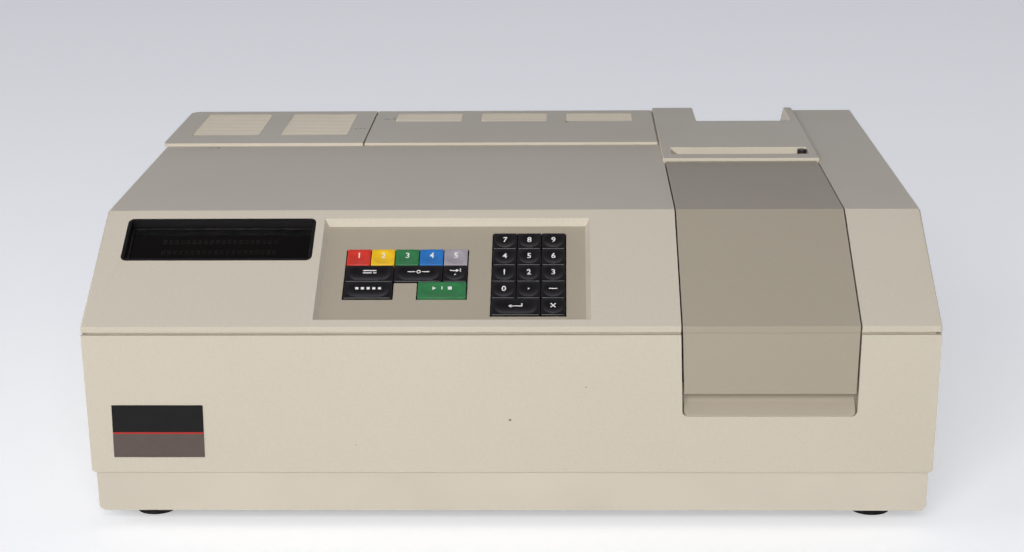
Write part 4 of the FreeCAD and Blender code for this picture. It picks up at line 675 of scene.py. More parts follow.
def store(mesh: BMesh, name: str, finish: Finish, body: str = CABINET, slot: str = "",
          place: Matrix = Matrix(), smooth: float = 35.0, stands_for: str = "") -> bpy.types.Object:
    """Turn a bmesh into a piece that rides on a body.

    Args:
        mesh: the shape in millimetres, which is freed.
        name: the piece's name.
        finish: its surface.
        body: body that it rides on.
        slot: the record's material slot, if it has one; not used.
        place: where the shape goes.
        smooth: angle in degrees below which an edge is shaded smooth.
        stands_for: node of the construction model that it replaces, if any.

    Returns:
        The piece.
    """
    bmesh.ops.transform(mesh, matrix=Matrix.Scale(METRE, 4) @ place, verts=mesh.verts)
    bmesh.ops.recalc_face_normals(mesh, faces=mesh.faces)
    data = bpy.data.meshes.new(name)
    mesh.to_mesh(data)
    mesh.free()
    data.polygons.foreach_set("use_smooth", [True] * len(data.polygons))
    data.set_sharp_from_angle(angle=math.radians(smooth))
    data.materials.append(finish.material())
    piece = show(name, data)
    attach(piece, body)
    if stands_for:
        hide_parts(stands_for)
    log.info("made %s", name)
    return piece


def dress(finishes: dict[str, Finish]) -> None:
    """Give nodes of the construction model their surfaces.

    Args:
        finishes: the finish of each node, by its name.
    """
    for node, finish in finishes.items():
        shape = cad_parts[node]
        shape.data.materials.clear()
        shape.data.materials.append(finish.material())
        log.info("dressed %s", node)


def soften(widths: dict[str, float]) -> None:
    """Round the sharp edges of nodes of the construction model.

    Args:
        widths: width of the rounding of each node, by its name.
    """
    for node, width in widths.items():
        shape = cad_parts[node]
        shape.modifiers.new("join", "WELD").merge_threshold = 0.01 * METRE
        edge = shape.modifiers.new("edge", "BEVEL")
        edge.width = width * METRE
        edge.segments = 2
        edge.limit_method = "ANGLE"
        edge.angle_limit = math.radians(38)
        edge.harden_normals = True


@dataclass(frozen=True)
class Piece:
    """Piece made of plain shapes, for a body, a slot and a node that it stands for."""

    name: str
    finish: Finish
    shapes: Sequence[Shape]
    body: str = CABINET
    slot: str = ""
    stands_for: str = ""

    def make(self, place: Matrix) -> None:
        """Make the piece in a frame."""
        mesh = bmesh.new()
        for shape in self.shapes:
            shape.add(mesh)
        store(mesh, self.name, self.finish, self.body, self.slot, place, stands_for=self.stands_for)


class Assembly:
    """Part of the instrument: surfaces and soft edges of its nodes, and the pieces that it adds to them."""

    finishes: dict[str, Finish] = {}
    softened: dict[str, float] = {}
    place = Matrix()

    def build(self) -> None:
        """Dress the nodes and make the pieces."""
        dress(self.finishes)
        soften(self.softened)
        for piece in self.pieces():
            piece.make(self.place)

    def pieces(self) -> Iterator[Piece]:
        """Its pieces, in order."""
        raise NotImplementedError


@dataclass
class Studio:
    """Pale floor, soft lamps and the camera of the photograph."""

    eye: Place = (43.361, -1824.904, 608.534)
    yaw: float = 1.5122
    pitch: float = 14.8138
    roll: float = -0.4882
    focal_pixels: float = 2139.358
    picture_width: float = 1024.0
    sensor: float = 36.0
    view_depth: float = 50000.0
    floor_reach: float = 9000.0
    target: Place = (0.0, 0.0, 100.0)
    ambient: float = 0.26
    rear_glow: float = 6.5

    def build(self) -> None:
        """Make the floor, the lamps, the world and the camera."""
        self.make_floor()
        self.make_world()
        self.make_lamp("key", (-350, -3300, 1500), (2400, 1500), 103.0)
        self.make_lamp("left_fill", (-2600, -900, 1500), (1600, 1200), 12.0)
        self.make_camera()
        bpy.context.scene.view_settings.view_transform = "Standard"

    def seen(self, nodes: Nodes) -> NodeSocket:
        """One where a surface is seen, in a gloss or through glass too, and nought where it lights others."""
        rays = nodes.add("LightPath").outputs
        level = nodes.scalar("ADD", rays["Is Camera Ray"], rays["Is Glossy Ray"])
        return nodes.scalar("ADD", level, rays["Is Transmission Ray"], use_clamp=True)

    def make_floor(self) -> None:
        """Pale bench top that keeps the instrument's shadow."""
        mesh = bmesh.new()
        bmesh.ops.create_grid(mesh, x_segments=2, y_segments=2, size=self.floor_reach * METRE)
        data = bpy.data.meshes.new("floor")
        mesh.to_mesh(data)
        mesh.free()
        material = bpy.data.materials.new("pale_bench")
        material.use_nodes = True
        nodes = Nodes(material.node_tree)
        nodes.tree.nodes.clear()
        seen = self.seen(nodes)
        cloth = nodes.add("BsdfDiffuse", {"Color": nodes.remap(seen, 0.0, 1.0, 0.35, 0.8)})
        strength = nodes.scalar("MULTIPLY", seen, 0.42)
        glow = nodes.add("Emission", {"Color": linear("#F2F4F7"), "Strength": strength})
        both = nodes.add("AddShader", {0: cloth.outputs[0], 1: glow.outputs[0]})
        nodes.add("OutputMaterial", {0: both.outputs[0]})
        data.materials.append(material)
        floor = show("floor", data)

    def make_world(self) -> None:
        """Even light, cooler behind, a low band that lights the rear, and a pale wall where it is seen."""
        world = bpy.data.worlds.new("studio")
        bpy.context.scene.world = world
        world.use_nodes = True
        nodes = Nodes(world.node_tree)
        nodes.tree.nodes.clear()
        way = nodes.add("SeparateXYZ", {0: nodes.add("TexCoord").outputs["Generated"]}).outputs

        def background(colour: Any, strength: Any) -> NodeSocket:
            """Light of a colour from every direction."""
            return nodes.add("Background", {"Color": colour, "Strength": strength}).outputs[0]

        back = nodes.remap(way[1], -1.0, 1.0)
        sky = nodes.ramp(back, (0.1, "#EFEBE6"), (0.45, "#C6C9DA"), (0.75, "#A9BCEB"))
        low = nodes.remap(way[2], 0.14, 0.06)
        band = nodes.scalar("MULTIPLY", low, nodes.remap(way[1], -0.2, 0.3, 0.0, self.rear_glow))
        light = nodes.add("AddShader", {0: background(sky, self.ambient),
                                        1: background(linear("#F6F2EC"), band)})
        lean = nodes.scalar("MULTIPLY_ADD", way[1], -0.35, way[2])
        wall = nodes.ramp(lean, (0.12, "#D3DAE8"), (0.6, "#77716F"), (0.95, "#2B292A"))
        both = nodes.add("MixShader", {0: self.seen(nodes), 1: light.outputs[0], 2: background(wall, 1.0)})
        nodes.add("OutputWorld", {0: both.outputs[0]})

    def make_lamp(self, name: str, place: Place, size: Pair, power: float) -> None:
        """Add a soft box that points at the instrument.

        Args:
            name: the lamp's name.
            place: where it stands.
            size: its width and height.
            power: its power in watts.
        """
        data = bpy.data.lights.new(name, "AREA")
        data.shape = "RECTANGLE"
        data.size, data.size_y = size[0] * METRE, size[1] * METRE
        data.energy = power
        lamp = show(name, data)
        lamp.location = Vector(place) * METRE
        lamp.rotation_euler = (Vector(self.target) - Vector(place)).to_track_quat("-Z", "Y").to_euler()

    def make_camera(self) -> None:
        """Camera solved from the straight edges of the instrument in the photograph."""
        data = bpy.data.cameras.new("camera")
        data.sensor_width = self.sensor
        data.lens = self.sensor * self.focal_pixels / self.picture_width
        data.clip_end = self.view_depth * METRE
        camera = show("camera", data)
        look = Matrix.Translation(Vector(self.eye) * METRE)
        for angle, axis in ((self.yaw, "Z"), (90 - self.pitch, "X"), (self.roll, "Z")):
            look = look @ Matrix.Rotation(math.radians(angle), 4, axis)
        camera.matrix_world = look
        bpy.context.scene.camera = camera


# Cabinet, console and sample bay


@dataclass
class Cabinet(Assembly):
    """Base pan, housing, top cover, raised covers and nameplate."""

    cover_top: float = 224.89
    slat_pitch: float = 7.2
    lip: float = 0.26
    lamp_fields: tuple[Pair, ...] = ((-308.0, -245.7), (-224.8, -162.5))
    rear_fields: tuple[Pair, ...] = ((-121.9, -58.3), (-39.4, 24.2), (43.1, 106.6))
    finishes = {
        "base_pan": pan_paint, "feet": foot_rubber, "lower_housing": front_paint, "top_cover": housing_paint,
        "lamp_cover": cover_paint, "rear_cover": cover_paint, "detector_cover": cover_paint,
        "nameplate": plate_print, "cover_catch": dark_steel,
    }
    softened = {
        "lower_housing": 0.8, "top_cover": 0.6, "lamp_cover": 0.5, "rear_cover": 0.5, "detector_cover": 0.6,
        "base_pan": 0.8, "nameplate": 0.3,
    }

    def pieces(self) -> Iterator[Piece]:
        """Rounded lips along the tops of the louvre slats, which catch light."""
        for name, fields, middle, count, body in (
                ("lamp", self.lamp_fields, 196.74, 14, "lamp_hatch"),
                ("rear", self.rear_fields, 229.14, 5, CABINET)):
            spots = grid(back=spaced(middle, self.slat_pitch, count), up=(self.cover_top,))
            yield Piece(name + "_cover_slat_lips", cover_paint, [
                Bar((left, 0, 0), (right, 0, 0), self.lip, spots=spots) for left, right in fields], body)


@dataclass(frozen=True)
class Sign:
    """Flat generic sign, in millimetres about its centre.

    Bars are left, low, right, high; discs are across, up, radius, corners and turn in degrees; rings
    are across, up, outer radius and wall.
    """

    bars: tuple[tuple[float, float, float, float], ...] = ()
    discs: tuple[tuple[float, float, float, int, float], ...] = ()
    rings: tuple[tuple[float, float, float, float], ...] = ()
    turn: float = 0.0

    def mesh(self) -> BMesh:
        """The sign as flat faces, cut fine enough to lie in a dish."""
        mesh = bmesh.new()
        for left, low, right, high in self.bars:
            place = Matrix.Translation(((left + right) / 2, (low + high) / 2, 0))
            bmesh.ops.create_grid(mesh, x_segments=5, y_segments=2, size=0.5,
                                  matrix=place @ Matrix.Diagonal((right - left, high - low, 1, 1)))
        for across, up, radius, corners, turn in self.discs:
            place = Matrix.Translation((across, up, 0)) @ Matrix.Rotation(math.radians(turn), 4, "Z")
            bmesh.ops.create_circle(mesh, cap_ends=True, segments=corners, radius=radius, matrix=place)
        for across, up, radius, wall in self.rings:
            before = set(mesh.edges)
            place = Matrix.Translation((across, up, 0))
            for reach in (radius, radius - wall):
                bmesh.ops.create_circle(mesh, segments=20, radius=reach, matrix=place)
            bmesh.ops.bridge_loops(mesh, edges=[side for side in mesh.edges if side not in before])
        bmesh.ops.rotate(mesh, verts=mesh.verts, matrix=Matrix.Rotation(math.radians(self.turn), 3, "Z"))
        return mesh


class Legend(Enum):
    """Signs on the keys that carry no figure."""

    POINT = Sign(discs=((0, 0, 0.75, 16, 0),))
    MINUS = Sign(bars=((-3.2, -0.4, 3.2, 0.4),))
    LINES = Sign(bars=((-5.2, 0.7, 5.2, 1.6), (-5.2, -1.5, 1.6, -0.6), (2.8, -1.5, 5.2, -0.6)))
    BASE_LINE = Sign(bars=((-8.5, -0.4, -2.6, 0.4), (2.6, -0.4, 8.5, 0.4)), rings=((0, 0, 1.7, 0.75),))
    GO_TO = Sign(bars=((-4.2, 0.6, 1.0, 1.4), (3.6, -0.5, 4.4, 2.5)),
                 discs=((1.4, 1.0, 1.7, 3, -90), (0, -3.0, 0.8, 12, 0)))
    TILES = Sign(bars=tuple((x - 1.2, -1.1, x + 1.2, 1.1) for x in (-8.8, -4.4, 0.0, 4.4, 8.8)))
    RUN_STOP = Sign(bars=((-0.4, -1.6, 0.4, 1.6), (4.6, -1.5, 7.6, 1.5)), discs=((-6.4, 0, 1.9, 3, -90),))
    RETURN = Sign(bars=((-3.8, -1.0, 5.0, -0.2), (4.2, -0.2, 5.0, 1.9)), discs=((-4.2, -0.6, 1.7, 3, 90),))
    CROSS = Sign(bars=((-2.6, -0.45, 2.6, 0.45), (-0.45, -2.6, 0.45, 2.6)), turn=45.0)


@dataclass(frozen=True)
class Key:
    """One key: its node, column and line in its block, what it shows, its colour and its width in pitches."""

    node: str
    column: int
    line: int
    legend: str | Legend
    colour: str = "black"
    span: int = 1

    @property
    def finish(self) -> Finish:
        """Surface of its cap."""
        return key_paints.get(self.colour, key_black)


FUNCTION_KEYS = tuple(
    Key(f"memory_key_{name}", column, 3, str(column + 1), name) for column, name in enumerate(
        ("red", "yellow", "green", "blue", "grey"))
) + (
    Key("print_key", 0, 2, Legend.LINES, span=2),
    Key("zero_key", 2, 2, Legend.BASE_LINE, span=2),
    Key("goto_key", 4, 2, Legend.GO_TO),
    Key("menu_key", 0, 1, Legend.TILES, span=2),
    Key("run_key", 3, 1, Legend.RUN_STOP, "green", 2),
)
NUMBER_KEYS = (
    Key("key_0", 0, 1, "0"),
    Key("key_point", 1, 1, Legend.POINT),
    Key("key_minus", 2, 1, Legend.MINUS),
    Key("enter_key", 0, 0, Legend.RETURN, span=2),
    Key("clear_key", 2, 0, Legend.CROSS),
) + tuple(Key(f"key_{figure}", (figure - 1) % 3, 2 + (figure - 1) // 3, str(figure))
          for figure in range(1, 10))


@dataclass(frozen=True)
class KeyBlock:
    """Block of keys: its keys, its left edge on the console, and how high their legends stand on the caps."""

    keys: tuple[Key, ...]
    left: float
    rise: float


SLOPE = Matrix.Translation((0.0, -278.0, 159.9)) @ Matrix.Rotation(math.radians(27.278), 4, "X")


@dataclass
class Keyboard:
    """The 24 keys: caps with round or long dishes and white legends."""

    blocks: tuple[KeyBlock, ...] = (KeyBlock(FUNCTION_KEYS, -129.1, 3.2), KeyBlock(NUMBER_KEYS, -14.6, 2.7))
    pitch: float = 19.05
    gap: float = 0.7
    thickness: float = 4.6
    seat: float = -4.5
    first_line: float = 17.5
    corner: float = 1.0
    edge: float = 0.38
    rim: float = 7.7
    dish: float = 1.5
    dish_rings: tuple[float, ...] = (1.0, 0.86, 0.68, 0.46, 0.22)
    dish_stretch: float = 8.5
    smooth: float = 15.4
    stem: float = 5.0
    stem_end: float = -8.4
    figure_height: float = 5.2
    boldness: float = 0.016
    ink: float = 0.06

    def build(self) -> None:
        """Make every cap and legend."""
        for group in self.blocks:
            for key in group.keys:
                across = group.left + (key.column + key.span / 2) * self.pitch
                up = self.first_line + (key.line + 0.5) * self.pitch
                place = SLOPE @ Matrix.Translation((across, up, self.seat))
                body = key.node + "_cap"
                store(self.cap(key.span), "cap_" + key.node, key.finish, body, "key_" + key.colour, place,
                      self.smooth, key.node)
                store(self.legend(key, group.rise), "legend_" + key.node, white_ink, body, "", place)

    def cap(self, span: int) -> BMesh:
        """Cap about its own middle, with its top at zero.

        Args:
            span: how many pitches wide it is.

        Returns:
            The cap's mesh.
        """
        mesh = bmesh.new()
        side = self.pitch - self.gap
        square = bmesh.ops.create_circle(mesh, cap_ends=True, segments=4, radius=side / math.sqrt(2),
                                         matrix=Matrix.Rotation(math.radians(45), 4, "Z"))["verts"]
        bevel(mesh, square, self.corner, 6, "VERTICES")
        bmesh.ops.delete(mesh, geom=mesh.faces[:], context="FACES_ONLY")
        outline = mesh.edges[:]
        loops = [outline]
        half_step = Matrix.Rotation(math.pi / len(outline), 4, "Z")
        for share in self.dish_rings:
            before = set(mesh.edges)
            drop = Matrix.Translation((0, 0, self.dish * (share * share - 1)))
            bmesh.ops.create_circle(mesh, cap_ends=share == self.dish_rings[-1], segments=len(outline),
                                    radius=self.rim * share, matrix=drop @ half_step)
            loops.append([line for line in mesh.edges if line not in before])
        for number, loop in enumerate(loops):
            stretch = (span - 1) * (self.dish_stretch if number else self.pitch / 2)
            for corner in {end for line in loop for end in line.verts}:
                corner.co.x += math.copysign(stretch, corner.co.x)
        for outer, inner in zip(loops, loops[1:]):
            bmesh.ops.bridge_loops(mesh, edges=outer + inner)
        wall = bmesh.ops.extrude_edge_only(mesh, edges=outline)["geom"]
        bmesh.ops.translate(mesh, vec=(0, 0, -self.thickness),
                            verts=[part for part in wall if isinstance(part, BMVert)])
        bmesh.ops.holes_fill(mesh, edges=[part for part in wall if isinstance(part, BMEdge)], sides=0)
        bevel(mesh, outline, self.edge, 3)
        Slab((0, 0, (self.stem_end - self.thickness) / 2),
             (self.stem, self.stem, -self.thickness - self.stem_end), 0.2).add(mesh)
        return mesh

    def legend(self, key: Key, rise: float) -> BMesh:
        """Figure or sign laid in a cap's dish.

        Args:
            key: the key that it belongs to.
            rise: how far above the cap's middle it stands.

        Returns:
            The legend's mesh, with a little of its thickness above the dish.
        """
        mesh = key.legend.value.mesh() if isinstance(key.legend, Legend) else self.figure(key.legend)
        flat = (key.span - 1) * self.dish_stretch
        for corner in mesh.verts:
            corner.co.y += rise
            out = max(0.0, abs(corner.co.x) - flat) ** 2 + corner.co.y ** 2
            corner.co.z = min(0.0, self.dish * (out / self.rim ** 2 - 1)) + self.ink
        thicken(mesh, 4 * self.ink)
        return mesh

    def figure(self, text: str) -> BMesh:
        """A bold figure of the legends' height about its own middle.

        Args:
            text: the figure.

        Returns:
            Its flat mesh.
        """
        outline = bpy.data.curves.new("figure", "FONT")
        outline.body = text
        outline.offset = self.boldness
        outline.resolution_u = 4
        holder = bpy.data.objects.new("figure", outline)
        data = bpy.data.meshes.new_from_object(holder)
        mesh = bmesh.new()
        mesh.from_mesh(data)
        bpy.data.objects.remove(holder)
        bpy.data.meshes.remove(data)
        bmesh.ops.remove_doubles(mesh, verts=mesh.verts, dist=1e-5)
        low, high = (Vector([pick(corner.co[axis] for corner in mesh.verts) for axis in range(3)])
                     for pick in (min, max))
        scale = Matrix.Scale(self.figure_height / (high.y - low.y), 4)
        bmesh.ops.transform(mesh, matrix=scale @ Matrix.Translation(-(low + high) / 2), verts=mesh.verts)
        return mesh


PANE_EDGE = (-231.1, 100.65, -7.9)


@dataclass
class Console(Assembly):
    """Sloping panel with the display: its unlit cells and the seal round its pane."""

    cells: Slab = Slab((0, 0, -11.02), (3.5, 5.4, 0.16),
                       spots=grid(spaced(-232.075, 4.65, 20), (96.0, 109.0)))
    seal_rows: Slab = Slab(PANE_EDGE, (144.8, 1.5, 0.4), 0.1, spots=corners(back=21.6))
    seal_sides: Slab = Slab(PANE_EDGE, (1.5, 44.7, 0.4), 0.1, spots=corners(71.65))
    finishes = {
        "display_bezel": black_moulding, "display_window": smoked_pane, "keypad_panel": taupe_paint,
        "console_board": console_laminate,
    }
    place = SLOPE

    def pieces(self) -> Iterator[Piece]:
        """Cells and seal."""
        yield Piece("display_cells", phosphor, [self.cells])
        yield Piece("display_seal", foot_rubber, [self.seal_rows, self.seal_sides])


@dataclass
class SampleBay(Assembly):
    """Lid, compartment and cell holders with their screws."""

    screws: Turned = Turned(((0, 0.6), (1.3, 0.6), (1.5, 3.0), (2.6, 3.0), (3.0, 2.6), (3.0, 0.0)), steps=20,
                            spots=grid((173.4, 221.3), (-164.0, -36.0), (70.0,)))
    finishes = {
        # The compartment's paint is lightened as painted light for its shaded recess under the lid.
        "sample_lid": taupe_paint, "sample_compartment": bay_paint_with_painted_light, "cell_holders": anodised_black,
        "beam_windows": silica,
    }
    softened = {"sample_lid": 0.6}

    def pieces(self) -> Iterator[Piece]:
        """The holders' screws."""
        yield Piece("holder_screws", plated_steel, [self.screws])


# Rear panel


@dataclass(frozen=True)
class Mark:
    """Sign on a sloping face of the mains rocker: its name and shape, where it lies and which way is up."""

    name: str
    sign: Sign
    spot: Place
    up: Place
    depth: float = 0.3
    proud: float = 0.12

    def make(self, _place: Matrix) -> None:
        """Make the sign, with a little of its thickness above the face."""
        mesh = self.sign.mesh()
        thicken(mesh, self.depth)
        right, top = Vector((-1, 0, 0)), Vector(self.up).normalized()
        turn = Matrix((right, top, right.cross(top))).transposed().to_4x4()
        place = Matrix.Translation(self.spot) @ turn @ Matrix.Translation((0, 0, self.proud))
        store(mesh, self.name, white_ink, "mains_rocker", place=place)


@dataclass(frozen=True)
class Port:
    """Connector: its middle, its width and how many contacts its long row has."""

    middle: float
    width: float
    contacts: int


def pan_heads(radius: float, seats: Sequence[Place]) -> Turned:
    """Domed screw heads of a radius that face the rear from their seats."""
    dome = ((0, 0.55), (0.5, 0.54), (0.8, 0.45), (0.95, 0.28), (1.0, 0.1), (1.0, 0.0))
    return Turned([(radius * out, radius * high) for out, high in dome], (0, 0, 0), REARWARD, 20, spots=seats)


@dataclass
class RearFittings(Assembly):
    """Rear panel and what it carries."""

    blades: Slab = Slab((0, 264.05, 0), (2.1, 14.1, 4.1), 0.5,
                        spots=((261.0, 0, 65.25), (268.0, 0, 70.25), (275.0, 0, 65.25)))
    inlet_screws: Turned = pan_heads(2.2, corners(14.4, middle=(268.0, 273.0, 80.25)))
    on_bar: Mark = Mark("rocker_on_bar", Sign(bars=((-0.45, -2.0, 0.45, 2.0),)), (268.0, 272.55, 104.55),
                        (0, -2.1, 7.3))
    off_ring: Mark = Mark("rocker_off_ring", Sign(rings=((0, 0, 1.9, 0.7),)), (268.0, 274.1, 96.95),
                          (0, -1.0, 7.3))
    ports: tuple[Port, ...] = (Port(-52.0, 39.0, 13), Port(18.0, 17.0, 5))
    port_face: float = 275.0
    port_level: float = 92.25
    contact_pitch: float = 2.77
    contact_row: float = 1.42
    round_port: float = 88.0
    round_port_ring: float = 3.3
    round_insert: Profile = ((0, 0.4), (5.2, 0.4), (5.6, 0.0), (5.6, -1.0))
    fan: Place = (-232.0, 271.0, 98.25)
    fan_hole: float = 25.0
    guard_rings: tuple[float, ...] = (9.0, 16.0, 23.0, 29.5)
    guard_eye: Profile = ((0, 1.0), (3.6, 1.0), (3.8, 0.8), (3.8, 0.0))
    wire: float = 0.8
    screws: tuple[Place, ...] = tuple(corners(293.0, up=38.25, middle=(0, 273.165, 98.25)))
    finishes = {
        "rear_panel": panel_paint, "cover_screws": plated_steel, "interface_connectors": plated_steel,
        "power_inlet": black_moulding, "power_switch": nylon_black, "fan_frame": nylon_black,
        "fan_rotor": nylon_black,
    }

    def pieces(self) -> Iterator[Piece | Mark]:
        """Metal of the mains inlet, signs of the rocker, connectors, fan guard, and painted shade in the
        screw recesses.
        """
        yield Piece("inlet_blades_and_screws", plated_steel, [self.blades, self.inlet_screws])
        yield from (self.on_bar, self.off_ring)
        yield from self.connectors()
        yield Piece("fan_guard", plated_steel, list(self.guard()))
        # Black crosses on the cover screws' heads: painted shade in place of their recesses.
        yield Piece("screw_recess_painted_shade", recess_shade_ink, [
            Slab((0, 0, 0), size, spots=self.screws) for size in ((4.4, 0.53, 0.9), (0.9, 0.53, 4.4))])

    def connectors(self) -> Iterator[Piece]:
        """Inserts, contacts and hexagon posts of the connectors."""
        face, level = self.port_face, self.port_level
        middle = (self.round_port, face, level)
        inserts = [Turned(self.round_insert, middle, REARWARD, 28)]
        ring = circle(self.round_port_ring, range(0, 225, 45), (0, 2))
        contacts = [Bar(middle, (self.round_port, face + 0.7, level), 0.7, spots=ring)]
        posts = []
        for port in self.ports:
            inserts.append(Slab((port.middle, face - 0.4, level), (port.width - 2.0, 1.2, 6.4), 0.5))
            for count, row in ((port.contacts, self.contact_row), (port.contacts - 1, -self.contact_row)):
                spots = grid(spaced(port.middle, self.contact_pitch, count), (face,), (level + row,))
                contacts.append(Bar((0, 0, 0), (0, 0.5, 0), 0.55, spots=spots))
            spots = corners(port.width / 2 + 3.9, middle=(port.middle, face, level))
            posts.append(Bar((0, -3.1, 0), (0, 0.6, 0), 2.7, 6, 0.25, spots=spots))
        yield Piece("port_inserts", nylon_black, inserts)
        yield Piece("port_contacts", brass, contacts)
        yield Piece("port_posts", plated_steel, posts)

    def guard(self) -> Iterator[Shape]:
        """Rings, spokes, eyes and screws of the wire guard over the fan's opening."""
        across, panel, up = self.fan
        for radius in self.guard_rings:
            yield Turned(hoop(radius, self.wire), (across, panel + self.wire, up), REARWARD, 40)
        near, far = self.guard_rings[0] / math.sqrt(2), self.fan_hole - 2.5 / math.sqrt(2)
        for side, _level, rise in corners(1, up=1):
            yield Bar((side * near, 0, rise * near), (side * far, 0, rise * far), self.wire,
                      spots=[(across, panel + 2.4 * self.wire, up)])
        holes = corners(self.fan_hole, up=self.fan_hole, middle=self.fan)
        yield Turned(self.guard_eye, (0, 0, 0), REARWARD, 20, spots=holes)
        yield pan_heads(3.0, [(hole[0], hole[1] + 1.0, hole[2]) for hole in holes])


# Transformer and main board


@dataclass
class Transformer(Assembly):
    """Laminated core with corner bolts, taped winding between its flanges, and a foot plate."""

    core: Slab = Slab((0, 0, 36.0), (80.0, 70.0, 72.0), 0.6)
    bolts: Bar = Bar((0, -38.5, 36.0), (0, 38.5, 36.0), 3.6, 6, spots=corners(33.0, up=29.0))
    foot_plate: Slab = Slab((0, 0, -1.5), (100.0, 70.0, 3.0), 0.8)
    foot_screws: Turned = Turned(((0, 2.6), (2.6, 2.5), (3.6, 1.6), (3.8, 0.0)), steps=18,
                                 spots=corners(45.5, 24.0))
    winding: Slab = Slab((0, 0, 35.0), (52.0, 98.0, 44.0), 7.0, 5)
    bobbin: Slab = Slab((0, 0, 35.0), (55.0, 2.0, 47.0), 0.4, spots=corners(back=36.2))
    lugs: Slab = Slab((0, -42.7, 59.0), (2.4, 0.6, 6.0), 0.2, spots=grid(spaced(0, 8.0, 6)))
    place = Matrix.Translation((185.9, 109.5, 17.5))

    def pieces(self) -> Iterator[Piece]:
        """Core, bolts and foot, winding, bobbin and lugs."""
        yield Piece("transformer_core", core_steel, [self.core], slot="core_iron", stands_for="transformer")
        yield Piece("transformer_bolts_and_foot", plated_steel, [
            self.bolts, self.foot_plate, self.foot_screws])
        yield Piece("transformer_winding", winding_tape, [self.winding])
        yield Piece("transformer_bobbin", nylon_black, [self.bobbin])
        yield Piece("transformer_lugs", brass, [self.lugs])


CHIP_COLUMNS = (-117.0, -52.4, 12.3)
CHIP_LINES = (157.0, 187.0)
BOARD_CORNERS = corners(121.95, 52.0, middle=(-20.05, 190.0, 0))


@dataclass
class MainBoard(Assembly):
    """Board on standoffs with chips, cans and a finned heat sink, in a frame on its top face."""

    sheet: Slab = Slab((-20.05, 190.0, -0.8), (259.9, 120.0, 1.6), 0.2)
    chips: Slab = Slab((0, 0, 2.4), (34.0, 12.0, 3.2), 0.3, spots=grid(CHIP_COLUMNS, CHIP_LINES))
    legs: Slab = Slab((0, 0, 1.2), (0.8, 0.7, 2.4), spots=grid(
        [leg for column in CHIP_COLUMNS for leg in spaced(column - 0.15, 2.7, 12)],
        [line + row for line in CHIP_LINES for row in (-6.85, 6.85)]))
    standoffs: Bar = Bar((0, 0, -9.6), (0, 0, -1.6), 4.0, 6, spots=BOARD_CORNERS)
    screws: Turned = Turned(((0, 2.0), (2.2, 1.9), (3.0, 1.0), (3.0, 0.0)), steps=16, spots=BOARD_CORNERS)
    cans: Turned = Turned(((0, 24.4), (6.8, 24.4), (7.2, 25.2), (8.4, 25.2), (9.0, 24.4), (9.0, 22.6),
                           (8.6, 22.2), (9.0, 21.8), (9.0, 0.0)), steps=28, spots=grid((84.9,), CHIP_LINES))
    sink: Slab = Slab((-20.0, 232.0, 1.5), (80.0, 20.0, 3.0), 0.3)
    fins: Slab = Slab((-20.0, 232.0, 16.0), (1.8, 20.0, 28.0), 0.3, 1, spots=grid(spaced(0, 6.0, 14)))
    place = Matrix.Translation((0, 0, 24.1))

    def pieces(self) -> Iterator[Piece]:
        """Sheet, chips, legs and standoffs, cans and heat sink."""
        yield Piece("board_sheet", board_laminate, [self.sheet], slot="board_green", stands_for="main_board")
        yield Piece("board_chips", epoxy_black, [self.chips])
        yield Piece("board_legs_and_standoffs", plated_steel, [self.legs, self.standoffs, self.screws])
        yield Piece("board_cans", sleeve_blue, [self.cans])
        yield Piece("board_heat_sink", anodised_black, [self.sink, self.fins])


# Lamps and optics


def bulb(radius: float, low: float, shoulder: float, wall: float) -> Profile:
    """Closed profile of a thin bulb with a round top.

    Args:
        radius: outer radius.
        low: where it starts.
        shoulder: where its dome starts.
        wall: thickness of the glass.

    Returns:
        The profile, out and then back along the inner wall.
    """
    angles = [math.pi / 2 * step / 8 for step in range(9)]
    outer, inner = ([(reach * math.cos(angle), shoulder + reach * math.sin(angle)) for angle in angles]
                    for reach in (radius, radius - wall))
    foot = (radius - wall, low)
    return foot, (radius, low), *outer, *inner[::-1], foot


@dataclass
class ArcLamp(Assembly):
    """Arc lamp: flange with three screws, ceramic collar, clear bulb and the electrode box inside it."""

    flange: Turned = Turned(((0, 0), (21.4, 0), (22, 0.6), (22, 3.4), (21.4, 4), (0, 4)), steps=48)
    screws: Turned = Turned(((0, 1.6), (2.0, 1.5), (2.8, 0.8), (2.9, 0.0)), (0, 0, 4), steps=18,
                            spots=circle(18.0, (30, 150, 270), (0, 1)))
    collar: Turned = Turned(((0, 4), (13.4, 4), (14, 4.6), (14, 15.4), (13.2, 16.2), (0, 16.2)), steps=40)
    glass: Turned = Turned(bulb(14.5, 16.0, 72.0, 1.2), steps=40)
    box: Slab = Slab((0, 0, 58.0), (14.0, 16.0, 28.0), 1.0)
    window: Turned = Turned(((1.2, 0), (3.4, 0), (3.4, 1.2), (1.2, 1.2), (1.2, 0)), (0, -8.0, 58.0),
                            (0, -1, 0), 24)
    leads: Bar = Bar((0, 0, 16), (0, 0, 45), 0.8, spots=grid((-4, 0, 4)))
    place = Matrix.Translation((-202.0, 170.0, 62.0))

    def pieces(self) -> Iterator[Piece]:
        """Flange, collar, bulb and electrodes."""
        yield Piece("arc_lamp_flange", plated_steel, [self.flange, self.screws], slot="lamp_glass",
                    stands_for="deuterium_lamp")
        yield Piece("arc_lamp_collar", ceramic, [self.collar])
        yield Piece("arc_lamp_bulb", lamp_glass, [self.glass], slot="lamp_glass")
        yield Piece("arc_lamp_electrodes", nickel, [self.box, self.window, self.leads])


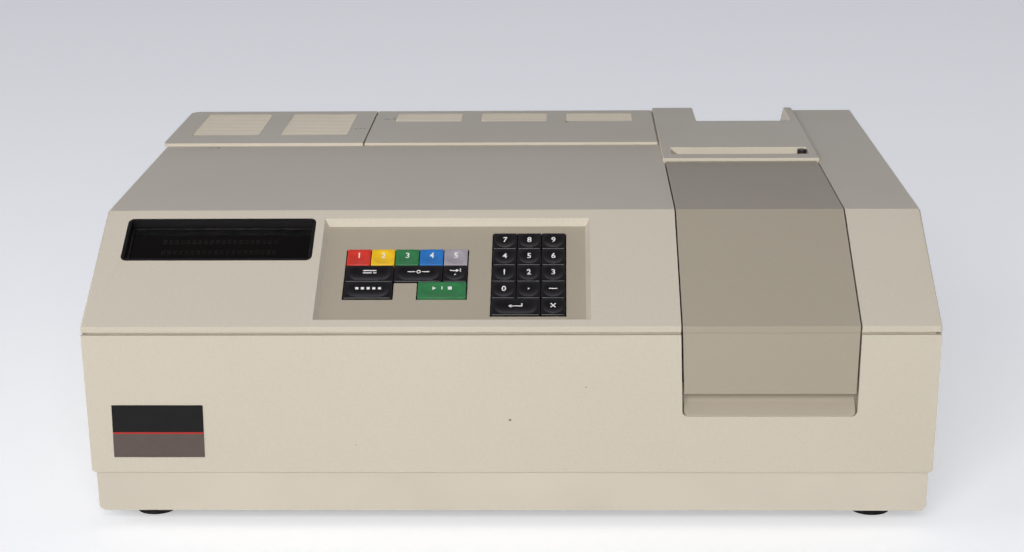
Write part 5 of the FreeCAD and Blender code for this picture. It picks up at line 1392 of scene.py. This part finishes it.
@dataclass
class FilamentLamp(Assembly):
    """Filament lamp: ceramic socket, clear capsule and its coiled filament."""

    socket: Slab = Slab((0, 0, 20.0), (20.0, 20.0, 40.0), 1.2, 3)
    glass: Turned = Turned(bulb(5.5, 40.0, 57.5, 0.7), steps=28)
    coil: Turned = Turned(hoop(1.3, 0.22, 6), (0, 0, 54.5), (1, 0, 0.18), 14, spots=grid(spaced(0, 1.0, 6)))
    leads: Bar = Bar((0, 0, 40.0), (0, 0, 54.5), 0.4, spots=corners(3.0))
    place = Matrix.Translation((-274.0, 170.0, 62.0))

    def pieces(self) -> Iterator[Piece]:
        """Socket, bulb and coil."""
        yield Piece("filament_lamp_socket", ceramic, [self.socket], slot="lamp_glass",
                    stands_for="halogen_lamp")
        yield Piece("filament_lamp_bulb", lamp_glass, [self.glass], slot="lamp_glass")
        yield Piece("filament_lamp_coil", nickel, [self.coil, self.leads])


@dataclass
class Optics(Assembly):
    """Casting, drives, five glass filters in the wheel, whose sixth hole stays open, and the grating."""

    filters: Turned = Turned(((0, 0), (7.5, 0), (7.9, 0.4), (7.9, 1.6), (7.5, 2.0), (0, 2.0)),
                             (-195.4, 34.0, 120.0), (1, 0, 0), 24,
                             spots=circle(26.0, range(60, 360, 60), (1, 2)))
    grating: Slab = Slab((-84.525, 20.0, 126.3), (0.25, 29.0, 16.2))
    finishes = {
        "optical_base": cast_alloy, "lamp_house": panel_paint, "drive_motors": anodised_black,
        "fixed_mirrors": mirror_coat, "detectors": anodised_black, "lamp_mirror": mirror_coat,
        "filter_wheel": anodised_black, "grating_table": anodised_black,
    }

    def pieces(self) -> Iterator[Piece]:
        """The filters and the grating's face."""
        yield Piece("filter_glasses", filter_glass, [self.filters], "filter_disc")
        yield Piece("grating_face_painted_spectrum", grating_face_painted_spectrum, [self.grating], "grating_turntable")


# Order and the ending


def main() -> None:
    """Build the instrument's looks in order."""
    logging.basicConfig(level=logging.INFO, format="%(message)s")
    for part in (Studio, Cabinet, Keyboard, Console, SampleBay, RearFittings, Transformer, MainBoard, ArcLamp,
                 FilamentLamp, Optics):
        part().build()
        log.info("%s is done", part.__name__)


if __name__ == "__main__":
    main()
